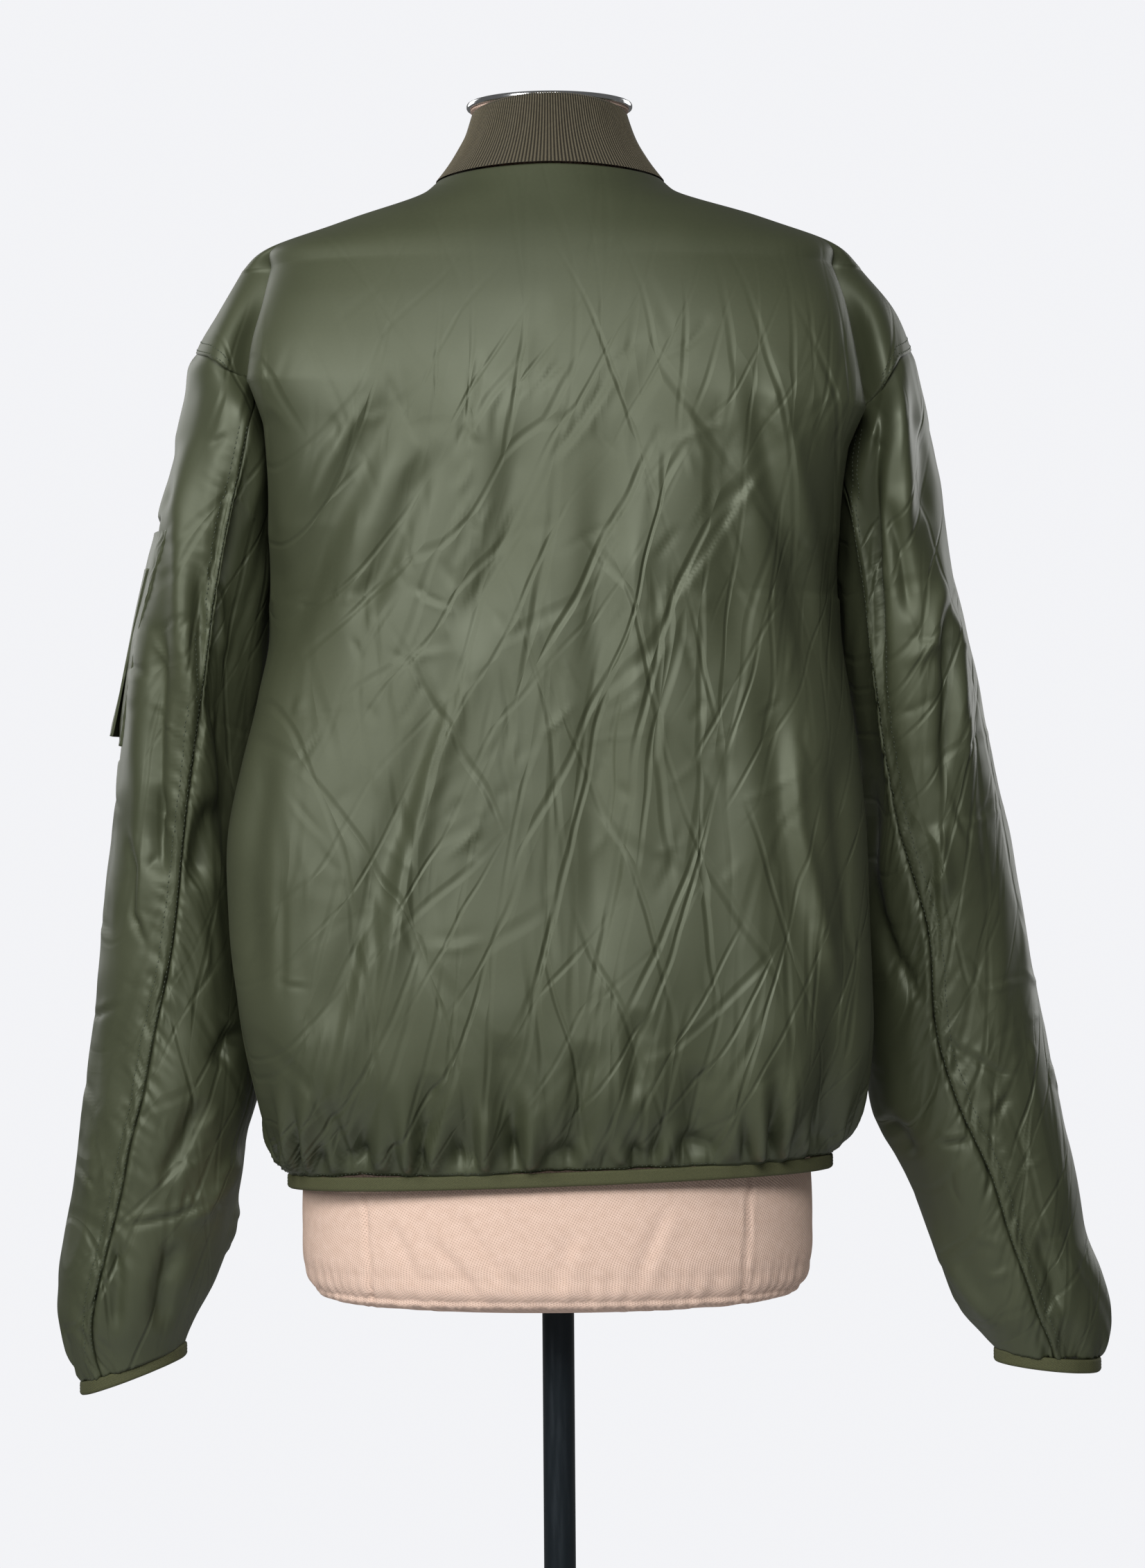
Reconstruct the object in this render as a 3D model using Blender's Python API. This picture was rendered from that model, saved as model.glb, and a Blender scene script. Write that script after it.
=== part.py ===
"""A padded bomber jacket with a rib collar on a limbless dress form.

Metres, +Z up, the floor at z = 0 and the stand's pole on the Z axis. The back of the
jacket faces -Y and its front faces +Y, so the wearer's left sleeve is at -X.
Each cloth panel is a run of rows from its top to its bottom, walled inwards.
"""

import bisect
import functools
import math

import bmesh
import bpy
import numpy as np

# Walls and gaps
WALL = 0.003
BINDING_WALL = 0.0026
SEAM_GAP = 0.0003
FINE_GAP = 0.0006

# Heights of the garment
NECK_SIDE_Z = 1.497
NECK_BACK_Z = 1.501
NECK_FRONT_Z = 1.441
DIMPLE_Z = 1.437
SHOULDER_TIP_Z = 1.386
UNDERARM_Z = 1.215
HEM_Z = 0.8345
HEM_SLOPE_X = 0.030
HEM_SLOPE_Y = -0.030
BINDING_HEIGHT = 0.0085

# Neckline, seen from above
NECK_HALF_WIDTH = 0.0765
NECK_BACK_Y = -0.068
NECK_FRONT_Y = 0.085
ZIP_HALF_WIDTH = 0.007

# Rib collar
COLLAR_TOP_HALF_WIDTH = 0.0520
COLLAR_TOP_BACK_Y = -0.0605
COLLAR_TOP_FRONT_Y = 0.066
COLLAR_TOP_BACK_Z = 1.5465
COLLAR_TOP_SIDE_Z = 1.5415
COLLAR_TOP_FRONT_Z = 1.484
COLLAR_RIBS = 110
RIB_HEIGHT = 0.0006

# Gathers
BACK_GATHERS = 48
FRONT_GATHERS = 24
UPPER_CUFF_GATHERS = 11
UNDER_CUFF_GATHERS = 6
HEM_LIFTS = (0.0012, 0.0024, 0.0014)
CUFF_LIFTS = (0.0014, 0.0026, 0.0014)

# Columns of a panel
BACK_COLUMNS = 30
FRONT_COLUMNS = 10
SHOULDER_COLUMNS = 5
UPPER_SLEEVE_COLUMNS = 12
UNDER_SLEEVE_COLUMNS = 8

# Rows of the body above the dimple and below the underarm, and of a sleeve from top to cuff
UPPER_HEIGHTS = (1.485, 1.471, 1.458, 1.447)
LOWER_HEIGHTS = (
    1.185, 1.150, 1.110, 1.070, 1.030, 0.990, 0.950, 0.915, 0.888, 0.868, 0.853, 0.843, HEM_Z,
)
SLEEVE_ROWS = (
    0.0, 0.03, 0.07, 0.12, 0.18, 0.25, 0.32, 0.39, 0.46, 0.53, 0.60, 0.67, 0.74, 0.81,
    0.87, 0.92, 0.955, 0.98, 1.0,
)

# Shoulder ridge: height, half width on the left, half width on the right
RIDGE = (
    (1.4970, 0.0765, 0.0765),
    (1.4880, 0.0880, 0.0880),
    (1.4710, 0.1386, 0.1440),
    (1.4580, 0.1744, 0.1790),
    (1.4470, 0.1994, 0.2000),
    (1.4370, 0.2105, 0.2110),
)

# Body: height, back depth, front depth, back and front roundness (2 is an ellipse)
BODY = (
    (1.5010, 0.068, 0.060, 2.10, 2.00),
    (1.4800, 0.080, 0.070, 2.15, 2.05),
    (1.4550, 0.094, 0.082, 2.25, 2.15),
    (1.4250, 0.106, 0.094, 2.50, 2.30),
    (1.3860, 0.117, 0.106, 2.80, 2.50),
    (1.3300, 0.125, 0.117, 3.00, 2.60),
    (1.2500, 0.130, 0.125, 3.00, 2.50),
    (1.1500, 0.134, 0.131, 2.90, 2.45),
    (1.0500, 0.140, 0.137, 2.80, 2.40),
    (0.9700, 0.146, 0.142, 2.75, 2.40),
    (0.9150, 0.147, 0.143, 2.70, 2.45),
    (0.8800, 0.144, 0.141, 2.60, 2.45),
    (0.8550, 0.136, 0.133, 2.45, 2.40),
    (0.8345, 0.123, 0.121, 2.30, 2.35),
)

# Side seam below the underarm: height, left x, right x, y
SIDE_SEAM = (
    (1.2150, 0.1925, 0.1940, 0.030),
    (1.1900, 0.1930, 0.1945, 0.020),
    (1.1500, 0.1990, 0.1990, -0.005),
    (1.1050, 0.2090, 0.2040, -0.030),
    (1.0600, 0.2175, 0.2080, -0.040),
    (1.0000, 0.2170, 0.2100, -0.040),
    (0.9600, 0.2140, 0.2110, -0.040),
    (0.9150, 0.2080, 0.2110, -0.036),
    (0.8850, 0.2015, 0.2070, -0.030),
    (0.8600, 0.1955, 0.2010, -0.024),
    (0.8450, 0.1895, 0.1945, -0.020),
    (0.8345, 0.1800, 0.1845, -0.018),
)

# Left sleeve: height, outer x, inner x, back y, front y
LEFT_SLEEVE = (
    (1.4370, 0.2105, 0.1700, -0.022, 0.030),
    (1.4100, 0.2265, 0.1660, -0.042, 0.058),
    (1.3860, 0.2410, 0.1650, -0.052, 0.080),
    (1.3500, 0.2480, 0.1680, -0.056, 0.095),
    (1.3000, 0.2615, 0.1760, -0.056, 0.108),
    (1.2500, 0.2720, 0.1870, -0.054, 0.113),
    (1.2150, 0.2795, 0.1935, -0.052, 0.114),
    (1.1700, 0.2885, 0.2010, -0.048, 0.114),
    (1.1200, 0.2955, 0.2090, -0.042, 0.114),
    (1.0600, 0.3020, 0.2160, -0.036, 0.114),
    (1.0000, 0.3100, 0.2150, -0.032, 0.114),
    (0.9400, 0.3160, 0.2110, -0.028, 0.112),
    (0.8800, 0.3245, 0.2070, -0.026, 0.106),
    (0.8500, 0.3290, 0.2135, -0.024, 0.102),
    (0.8200, 0.3325, 0.2185, -0.022, 0.098),
    (0.7800, 0.3405, 0.2270, -0.018, 0.093),
    (0.7500, 0.3450, 0.2370, -0.014, 0.088),
    (0.7250, 0.3445, 0.2490, -0.007, 0.081),
    (0.7050, 0.3390, 0.2575, 0.002, 0.073),
    (0.6800, 0.3270, 0.2640, 0.008, 0.066),
)

# Right sleeve, in the same columns
RIGHT_SLEEVE = (
    (1.4370, 0.2110, 0.1720, -0.022, 0.030),
    (1.4100, 0.2330, 0.1680, -0.042, 0.058),
    (1.3860, 0.2440, 0.1670, -0.052, 0.080),
    (1.3500, 0.2535, 0.1700, -0.056, 0.095),
    (1.3000, 0.2640, 0.1780, -0.056, 0.108),
    (1.2500, 0.2715, 0.1880, -0.054, 0.113),
    (1.2150, 0.2785, 0.1950, -0.052, 0.114),
    (1.1700, 0.2890, 0.2020, -0.048, 0.114),
    (1.1200, 0.2990, 0.2090, -0.042, 0.114),
    (1.0600, 0.3105, 0.2150, -0.036, 0.114),
    (1.0000, 0.3210, 0.2185, -0.030, 0.114),
    (0.9400, 0.3320, 0.2165, -0.026, 0.114),
    (0.9000, 0.3395, 0.2215, -0.024, 0.110),
    (0.8600, 0.3475, 0.2265, -0.022, 0.106),
    (0.8200, 0.3555, 0.2400, -0.020, 0.100),
    (0.7800, 0.3625, 0.2560, -0.016, 0.094),
    (0.7500, 0.3735, 0.2665, -0.012, 0.088),
    (0.7250, 0.3785, 0.2780, -0.006, 0.082),
    (0.7080, 0.3780, 0.2930, 0.002, 0.074),
    (0.6900, 0.3700, 0.3100, 0.008, 0.066),
)

# Turns of the sleeve at which the armhole seam enters the fold and then has its points
FOLD_TURN = 97.0
FOLD_TURNS = (112.0, 127.0, 142.0, 160.0, 180.0)
SHOULDER_SHARES = (0.0, 0.25, 0.5, 0.75, 1.0)

# Armhole seam: turn in degrees from the sleeve's outer side, left height, right height
ARMHOLE = (
    (0.0, 1.3860, 1.3860),
    (50.0, 1.3780, 1.3740),
    (95.0, 1.3620, 1.3400),
    (120.0, 1.3300, 1.3120),
    (150.0, 1.2600, 1.2550),
    (180.0, 1.2150, 1.2150),
)

# Back sleeve seam: height, left turn, right turn in degrees
ELBOW_SEAM = (
    (1.3600, 106.0, 128.0),
    (1.1600, 104.0, 130.0),
    (1.0600, 100.0, 122.0),
    (0.9900, 95.0, 106.0),
    (0.9100, 80.0, 106.0),
    (0.8450, 74.0, 96.0),
    (0.7800, 70.0, 94.0),
    (0.7000, 65.0, 93.0),
)
FRONT_SEAM_TURN = -128.0
SEAM_RADIUS = 0.05

# Cuff plane: centre x, height there, fall per metre outwards
LEFT_CUFF = (0.2925, 0.6950, 0.36)
RIGHT_CUFF = (0.3400, 0.6965, 0.10)

# Back folds: start x, start z, end x, end z, width, depth (a ridge is negative)
BACK_FOLDS = (
    (-0.091, 1.364, -0.156, 1.240, 0.016, 0.009),
    (-0.156, 1.240, -0.190, 1.155, 0.015, 0.006),
    (-0.075, 1.315, -0.132, 1.187, 0.012, 0.006),
    (-0.016, 1.341, -0.060, 1.172, 0.015, 0.007),
    (0.032, 1.300, 0.029, 0.960, 0.016, 0.008),
    (0.058, 1.290, 0.054, 0.980, 0.012, -0.004),
    (0.130, 1.372, 0.143, 1.292, 0.012, 0.008),
    (0.143, 1.292, 0.168, 1.160, 0.012, 0.007),
    (0.138, 1.362, 0.176, 1.200, 0.010, -0.005),
    (0.092, 1.360, 0.118, 1.238, 0.016, 0.006),
    (-0.076, 1.126, -0.112, 0.950, 0.014, -0.005),
    (0.155, 1.135, 0.180, 0.975, 0.013, -0.005),
    (0.021, 0.925, 0.012, 0.850, 0.009, 0.006),
    (-0.080, 0.905, -0.085, 0.852, 0.009, 0.005),
    (0.095, 0.910, 0.090, 0.852, 0.009, 0.005),
)

# Front folds, in the same columns
FRONT_FOLDS = (
    (-0.150, 1.350, -0.110, 1.200, 0.016, 0.008),
    (0.145, 1.340, 0.115, 1.210, 0.016, 0.008),
    (-0.080, 1.250, -0.060, 1.050, 0.016, 0.006),
    (0.090, 1.200, 0.070, 1.000, 0.016, 0.006),
    (-0.140, 1.120, -0.150, 0.930, 0.014, 0.006),
    (0.150, 1.080, 0.160, 0.930, 0.014, 0.006),
    (-0.060, 0.910, -0.065, 0.850, 0.009, 0.005),
    (0.075, 0.905, 0.070, 0.850, 0.009, 0.005),
)

# Sleeve folds: turn, start z, end turn, end z, width, depth
SLEEVE_FOLDS = (
    (70.0, 1.300, 60.0, 1.130, 0.010, 0.005),
    (120.0, 1.060, 60.0, 1.010, 0.010, 0.005),
    (-60.0, 1.250, -75.0, 1.080, 0.012, 0.005),
    (-110.0, 1.030, -50.0, 0.985, 0.010, 0.005),
    (130.0, 0.900, 95.0, 0.790, 0.010, 0.004),
    (30.0, 0.960, 20.0, 0.830, 0.012, 0.004),
    (-30.0, 0.900, -20.0, 0.770, 0.012, 0.004),
)

# Dress form: height, half width, back depth, front depth, roundness
FORM = (
    (1.5435, 0.0460, 0.052, 0.052, 2.0),
    (1.5250, 0.0445, 0.050, 0.050, 2.0),
    (1.5050, 0.0500, 0.052, 0.052, 2.0),
    (1.4930, 0.0620, 0.056, 0.055, 2.0),
    (1.4800, 0.0860, 0.063, 0.052, 2.0),
    (1.4660, 0.1280, 0.072, 0.057, 2.1),
    (1.4520, 0.1640, 0.079, 0.064, 2.2),
    (1.4400, 0.1820, 0.085, 0.070, 2.3),
    (1.4250, 0.1860, 0.091, 0.077, 2.3),
    (1.4000, 0.1860, 0.099, 0.086, 2.4),
    (1.3600, 0.1870, 0.106, 0.096, 2.6),
    (1.3000, 0.1820, 0.111, 0.104, 2.5),
    (1.2300, 0.1750, 0.112, 0.108, 2.4),
    (1.1400, 0.1600, 0.104, 0.106, 2.3),
    (1.0600, 0.1490, 0.098, 0.104, 2.3),
    (0.9900, 0.1540, 0.104, 0.106, 2.3),
    (0.9200, 0.1650, 0.112, 0.109, 2.3),
    (0.8500, 0.1705, 0.113, 0.104, 2.2),
    (0.7900, 0.1725, 0.113, 0.104, 2.2),
    (0.7600, 0.1705, 0.111, 0.103, 2.2),
    (0.7450, 0.1630, 0.106, 0.098, 2.2),
    (0.7370, 0.1480, 0.095, 0.090, 2.3),
    (0.7330, 0.1200, 0.075, 0.070, 2.2),
)
FORM_COLUMNS = 28
NECK_CAP_TOP_Z = 1.5468
NECK_CAP_RADIUS = 0.0535

# Stand
RING_RADIUS = 0.0562
RING_BOTTOM_Z = 1.5471
RING_HEIGHT = 0.0038
RING_WIDTH = 0.0040
POLE_RADIUS = 0.0108
POLE_TOP_Z = 0.7327
BASE_RADIUS = 0.165
BASE_THICKNESS = 0.012
BASE_SOCKET_RADIUS = 0.020
BASE_SOCKET_HEIGHT = 0.030

# Sleeve pocket: height, turn of its back edge in degrees
POCKET_EDGE = (
    (1.2620, 48.0),
    (1.2050, 31.0),
    (1.1600, 26.0),
    (1.1180, 20.0),
)
POCKET_TURN = 112.0
POCKET_WALL = 0.0018
POCKET_FLAP_WALL = 0.0018
POCKET_FLAP_TOP_Z = 1.237
POCKET_FLAP_BOTTOM_Z = 1.124
POCKET_FLAP_START = 12.0
POCKET_FLAP_TURN = 34.0

# Front zip
ZIP_TAPE_WALL = 0.0012
ZIP_CHAIN_HALF_WIDTH = 0.0029
ZIP_CHAIN_RAISE = 0.0012
SLIDER_Z = 1.425
SLIDER_SIZE = (0.0086, 0.0026, 0.0120)
BRIDGE_WIDTH = 0.0018
BRIDGE_HALF_LENGTH = 0.0040
BRIDGE_TUNNEL = 0.0020
BRIDGE_WALL = 0.0010
PULL_WIDTH = 0.0066
PULL_LENGTH = 0.0300
PULL_WALL = 0.0011
PULL_BAR = 0.0012
PULL_SLOT_WIDTH = 0.0030
PULL_SLOT_LENGTH = 0.0052


def remove_all():
    """Empties the start-up scene."""
    for obj in list(bpy.data.objects):
        bpy.data.objects.remove(obj, do_unlink=True)


def material(name, colour, roughness, metallic=0.0):
    """A Principled material of one colour."""
    made = bpy.data.materials.new(name)
    made.use_nodes = True
    shader = made.node_tree.nodes["Principled BSDF"]
    shader.inputs["Base Color"].default_value = (*colour, 1.0)
    shader.inputs["Roughness"].default_value = roughness
    shader.inputs["Metallic"].default_value = metallic
    made.diffuse_color = (*colour, 1.0)
    return made


@functools.lru_cache(maxsize=None)
def curve_of(table, column):
    """Heights, values and slopes of a table's column, from its lowest row up."""
    rows = np.array(sorted(table))
    slopes = np.gradient(rows[:, column], rows[:, 0])
    return rows[:, 0].tolist(), rows[:, column].tolist(), slopes.tolist()


def smooth_table(table, height, column):
    """A table's column at a height, along a smooth curve through its rows."""
    heights, values, slopes = curve_of(table, column)
    height = min(max(height, heights[0]), heights[-1])
    index = min(bisect.bisect_right(heights, height) - 1, len(heights) - 2)
    step = heights[index + 1] - heights[index]
    t = (height - heights[index]) / step
    return (
        (2 * t**3 - 3 * t**2 + 1) * values[index]
        + (t**3 - 2 * t**2 + t) * step * slopes[index]
        + (3 * t**2 - 2 * t**3) * values[index + 1]
        + (t**3 - t**2) * step * slopes[index + 1]
    )


def smoothstep(low, high, value):
    """0 below low and 1 above high, with a smooth rise between."""
    t = min(max((value - low) / (high - low), 0.0), 1.0)
    return t * t * (3 - 2 * t)


def quarter_arc(start, end, roundness, steps=24):
    """Points of a superellipse quarter that leaves start along X and meets end along Y."""
    power = 2.0 / roundness
    points = []
    for step in range(steps + 1):
        turn = 0.5 * math.pi * step / steps
        across = math.sin(turn) ** power
        along = max(math.cos(turn), 0.0) ** power
        points.append(
            (
                start[0] + (end[0] - start[0]) * across,
                end[1] + (start[1] - end[1]) * along,
            )
        )
    return points


def resample(points, columns):
    """The path cut into equal lengths."""
    path = np.array(points)
    lengths = np.concatenate([[0.0], np.cumsum(np.linalg.norm(np.diff(path, axis=0), axis=1))])
    wanted = np.linspace(0.0, lengths[-1], columns + 1)
    return np.stack([np.interp(wanted, lengths, path[:, axis]) for axis in range(path.shape[1])], axis=1)


def sleeve_table(side):
    """The sleeve's sections on one side: -1 is left."""
    return LEFT_SLEEVE if side < 0 else RIGHT_SLEEVE


def sleeve_point(side, turn, height, out=0.0):
    """The sleeve's outside at a turn in degrees from its outer side towards the back."""
    table = sleeve_table(side)
    outer = smooth_table(table, height, 1)
    inner = smooth_table(table, height, 2)
    back = smooth_table(table, height, 3)
    front = smooth_table(table, height, 4)
    angle = math.radians(turn)
    x = 0.5 * (outer + inner) + (0.5 * (outer - inner) + out) * math.cos(angle)
    y = 0.5 * (back + front) - (0.5 * (front - back) + out) * math.sin(angle)
    return np.array([side * x, y, height])


def sleeve_normal(side, turn, height):
    """The sleeve's outward normal, from its neighbours all round."""
    around = sleeve_point(side, turn + 2.0, height) - sleeve_point(side, turn - 2.0, height)
    along = sleeve_point(side, turn, height + 0.004) - sleeve_point(side, turn, height - 0.004)
    normal = np.cross(around, along) * -side
    return normal / np.linalg.norm(normal)


def armhole_height(side, turn):
    """The height of the armhole seam at a turn of the sleeve."""
    turn = abs((turn + 180.0) % 360.0 - 180.0)
    rows = np.array(ARMHOLE)
    return float(np.interp(turn, rows[:, 0], rows[:, 1 if side < 0 else 2]))


def armhole_turn(side, height):
    """The turn at which the armhole seam reaches a height."""
    rows = np.array(ARMHOLE)[::-1]
    return float(np.interp(height, rows[:, 1 if side < 0 else 2], rows[:, 0]))


def ridge_x(side, height):
    """The half width of the shoulder ridge."""
    return smooth_table(RIDGE, height, 1 if side < 0 else 2)


def fold_shift(folds, x, z):
    """How far the folds take the cloth inwards at a place of a panel."""
    shift = 0.0
    for x0, z0, x1, z1, width, depth in folds:
        length = math.hypot(x1 - x0, z1 - z0)
        along = ((x - x0) * (x1 - x0) + (z - z0) * (z1 - z0)) / length**2
        away = ((x - x0) * (z1 - z0) - (z - z0) * (x1 - x0)) / length
        ends = smoothstep(-0.25, 0.2, along) * (1.0 - smoothstep(0.8, 1.25, along))
        shift += depth * ends * math.exp(-((away / width) ** 2))
    return shift


def body_edge(side, height, facing):
    """The body's edge at a height: ridge, armhole fold or side seam, as x and y."""
    if height > DIMPLE_Z + 1e-6:
        return side * ridge_x(side, height), 0.0
    if height >= UNDERARM_Z - 1e-6:
        turn = min(max(armhole_turn(side, height), FOLD_TURN), 180.0)
        point = sleeve_point(side, -facing * turn, height)
        return point[0], point[1]
    x = smooth_table(SIDE_SEAM, height, 1 if side < 0 else 2)
    return side * x, smooth_table(SIDE_SEAM, height, 3)


def hem_drop(x, y, height):
    """The tilt of the hem, which fades out 0.12 m above it."""
    share = 1.0 - smoothstep(HEM_Z, HEM_Z + 0.12, height)
    return share * (HEM_SLOPE_X * x + HEM_SLOPE_Y * y)


def back_half(side, height, columns):
    """Half a row of the back, from its centre to its edge, with the shoulder end."""
    depth = smooth_table(BODY, height, 1)
    roundness = smooth_table(BODY, height, 3)
    edge = body_edge(side, height, -1)
    points = quarter_arc((0.0, -depth), edge, roundness)
    return [(x, y, height) for x, y in resample(points, columns)]


def shoulder_end(side, share, facing):
    """A row past the fold, on the dropped shoulder: share 0 at the dimple, 1 at the armhole seam."""
    row = []
    for step in range(1, SHOULDER_COLUMNS + 1):
        turn = FOLD_TURN * (1.0 - step / SHOULDER_COLUMNS)
        height = DIMPLE_Z + (armhole_height(side, turn) - DIMPLE_Z) * share
        row.append(tuple(sleeve_point(side, -facing * turn, height)))
    return row


def shoulder_heights(side):
    """Shares and heights of the rows from the dimple to where the seam enters the fold."""
    low = armhole_height(side, FOLD_TURN)
    return [(share, DIMPLE_Z + (low - DIMPLE_Z) * share) for share in SHOULDER_SHARES]


def armhole_turns():
    """The turns at which the body has a point on the armhole seam."""
    turns = [FOLD_TURN * step / SHOULDER_COLUMNS for step in range(SHOULDER_COLUMNS + 1)]
    return turns + list(FOLD_TURNS)


def front_half(side, height, columns):
    """Half a row of a front, from the neckline or zip to its edge."""
    depth = smooth_table(BODY, height, 2)
    roundness = smooth_table(BODY, height, 4)
    edge = body_edge(side, height, 1)
    if height > NECK_FRONT_Z:
        start = neck_front_point(side, height)
    else:
        start = (side * ZIP_HALF_WIDTH, depth)
    points = quarter_arc(start, edge, roundness)
    return [(x, y, height) for x, y in resample(points, columns)]


def neck_front_point(side, height):
    """The front neckline at a height, as x and y."""
    rise = (NECK_SIDE_Z - height) / (NECK_SIDE_Z - NECK_FRONT_Z)
    sine = math.sqrt(min(max(rise, 0.0), 1.0))
    x = max(NECK_HALF_WIDTH * math.sqrt(1.0 - sine * sine), ZIP_HALF_WIDTH)
    return side * x, NECK_FRONT_Y * sine


def strip(first, first_u, second, second_u):
    """Triangles and quads between two runs of vertices at their places 0 to 1."""
    if len(first) == len(second):
        return [(first[i], second[i], second[i + 1], first[i + 1]) for i in range(len(first) - 1)]
    faces = []
    i = j = 0
    while i < len(first) - 1 or j < len(second) - 1:
        step_first = j == len(second) - 1 or (
            i < len(first) - 1 and first_u[i + 1] <= second_u[j + 1] + 1e-9
        )
        if step_first:
            faces.append((first[i], second[j], first[i + 1]))
            i += 1
        else:
            faces.append((first[i], second[j], second[j + 1]))
            j += 1
    return faces


def places(row):
    """Each point's share of its row's length."""
    steps = np.linalg.norm(np.diff(row, axis=0), axis=1)
    lengths = np.concatenate([[0.0], np.cumsum(steps)])
    return lengths / lengths[-1]


def grid_normals(rows, trims):
    """Outward normals at the points of a panel whose rows run left to right seen from outside."""
    offsets = np.concatenate([[0], np.cumsum([len(row) for row in rows])])
    points = np.concatenate(rows)
    normals = np.zeros_like(points)
    for index in range(len(rows) - 1):
        low, high = trims.get(index, (0, 0))
        stop = len(rows[index]) - high
        first = list(range(offsets[index] + low, offsets[index] + stop))
        second = list(range(offsets[index + 1], offsets[index + 2]))
        for face in strip(first, places(rows[index][low:stop]), second, places(rows[index + 1])):
            corners = points[list(face)]
            area = np.cross(corners[1] - corners[0], corners[-1] - corners[0])
            if len(face) == 4:
                area = area + np.cross(corners[3] - corners[2], corners[1] - corners[2])
            for corner in face:
                normals[corner] += area
    normals /= np.linalg.norm(normals, axis=1)[:, None]
    return [normals[offsets[i] : offsets[i + 1]] for i in range(len(rows))]


def side_chain(side_runs, trims, end):
    """The points down one side of a panel, along the row where it steps in."""
    chain = []
    for index, run in enumerate(side_runs):
        count = trims.get(index, (0, 0))[end]
        chain.extend(run[: count + 1] if end == 0 else run[::-1][: count + 1])
    return chain


def solid_from_rows(name, outer, inner, surface, closed=False, trims={}):
    """One closed solid between outer and inner rows; closed rows end where they start.

    trims gives, for a row, how many points at its start and end the strip below it leaves.
    """
    points = []
    runs = []
    for rows in (outer, inner):
        side_runs = []
        for row in rows:
            first = len(points)
            points.extend(tuple(point) for point in row)
            run = list(range(first, len(points)))
            if closed:
                run.append(first)
            side_runs.append(run)
        runs.append(side_runs)

    def row_places(row):
        return places(np.concatenate([row, row[:1]]) if closed else row)

    faces = []
    for side_runs, rows, flip in ((runs[0], outer, False), (runs[1], inner, True)):
        for index in range(len(rows) - 1):
            low, high = trims.get(index, (0, 0))
            stop = len(rows[index]) - high
            found = strip(
                side_runs[index][low:stop] if trims else side_runs[index],
                row_places(rows[index][low:stop]),
                side_runs[index + 1],
                row_places(rows[index + 1]),
            )
            faces.extend(face[::-1] if flip else face for face in found)
    for index, flip in ((0, True), (-1, False)):
        found = strip(
            runs[0][index],
            row_places(outer[index]),
            runs[1][index],
            row_places(inner[index]),
        )
        faces.extend(face[::-1] if flip else face for face in found)
    if not closed:
        for end, flip in ((0, False), (-1, True)):
            first = side_chain(runs[0], trims, end)
            second = side_chain(runs[1], trims, end)
            first_u = places(np.array([points[i] for i in first]))
            second_u = places(np.array([points[i] for i in second]))
            found = strip(first, first_u, second, second_u)
            faces.extend(face[::-1] if flip else face for face in found)

    mesh = bpy.data.meshes.new(name)
    mesh.from_pydata(points, [], faces)
    mesh.materials.append(surface)
    mesh.polygons.foreach_set("use_smooth", [True] * len(mesh.polygons))
    obj = bpy.data.objects.new(name, mesh)
    bpy.context.scene.collection.objects.link(obj)
    work = bmesh.new()
    work.from_mesh(mesh)
    if work.calc_volume(signed=True) < 0:
        bmesh.ops.reverse_faces(work, faces=work.faces[:])
    work.to_mesh(mesh)
    work.free()
    return obj


def waved(row, normals, waves, height, flat_ends=True):
    """The row with two points a wave, raised and lowered along its normals."""
    here = places(row)
    wanted = np.linspace(0.0, 1.0, 2 * waves + 1)
    points = np.stack([np.interp(wanted, here, row[:, axis]) for axis in range(3)], axis=1)
    out = np.stack([np.interp(wanted, here, normals[:, axis]) for axis in range(3)], axis=1)
    lift = np.where(np.arange(len(wanted)) % 2 == 0, -0.5, 0.5) * height
    if flat_ends:
        lift[0] = lift[-1] = 0.0
    return points + out * lift[:, None]


def seam_normals(rows, normals, trims, facing):
    """Turns the normals along the shoulder, armhole and side seams as the piece beside them has."""
    for row, normal in zip(rows, normals):
        for end in (0, -1):
            height = row[end, 2]
            on_seam = abs(row[end, 0]) > 3 * ZIP_HALF_WIDTH
            if on_seam and (height > SHOULDER_TIP_Z - 1e-6 or height < UNDERARM_Z + 1e-6):
                normal[end, 1] = 0.0
                normal[end] /= np.linalg.norm(normal[end])
    for index, counts in trims.items():
        for end in (0, -1):
            for step in range(counts[end]):
                place = step if end == 0 else -1 - step
                x = rows[index][place, 0]
                side = -1 if x < 0 else 1
                turn = FOLD_TURN * step / SHOULDER_COLUMNS
                height = armhole_height(side, turn)
                normals[index][place] = sleeve_normal(side, -facing * turn, height)


def panel(name, rows, surface, trims, facing, waves, wave_rows, wall=WALL):
    """A cloth panel from its outside rows, walled inwards, with gathers in its last rows."""
    normals = grid_normals(rows, trims)
    seam_normals(rows, normals, trims, facing)
    inner = [row - normal * wall for row, normal in zip(rows, normals)]
    outer = list(rows)
    for back_from_end, height in enumerate(wave_rows):
        index = len(rows) - 1 - back_from_end
        outer[index] = waved(rows[index], normals[index], waves, height)
    return solid_from_rows(name, outer, inner, surface, trims=trims)


def folded(rows, folds, trims):
    """The rows with their folds pressed in, fading out at the panel's edges."""
    normals = grid_normals(rows, trims)
    shifted = []
    for row, normal in zip(rows, normals):
        shares = places(row)
        new = row.copy()
        for index, (point, out) in enumerate(zip(row, normal)):
            z = point[2]
            edge = smoothstep(0.0, 0.07, shares[index]) * smoothstep(0.0, 0.07, 1.0 - shares[index])
            ends = smoothstep(HEM_Z, HEM_Z + 0.025, z)
            new[index] = point - out * fold_shift(folds, point[0], z) * edge * ends
        shifted.append(new)
    return shifted


def tilted(row):
    """The row with the tilt of the hem."""
    return np.array([(x, y, z + hem_drop(x, y, z)) for x, y, z in row])


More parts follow.
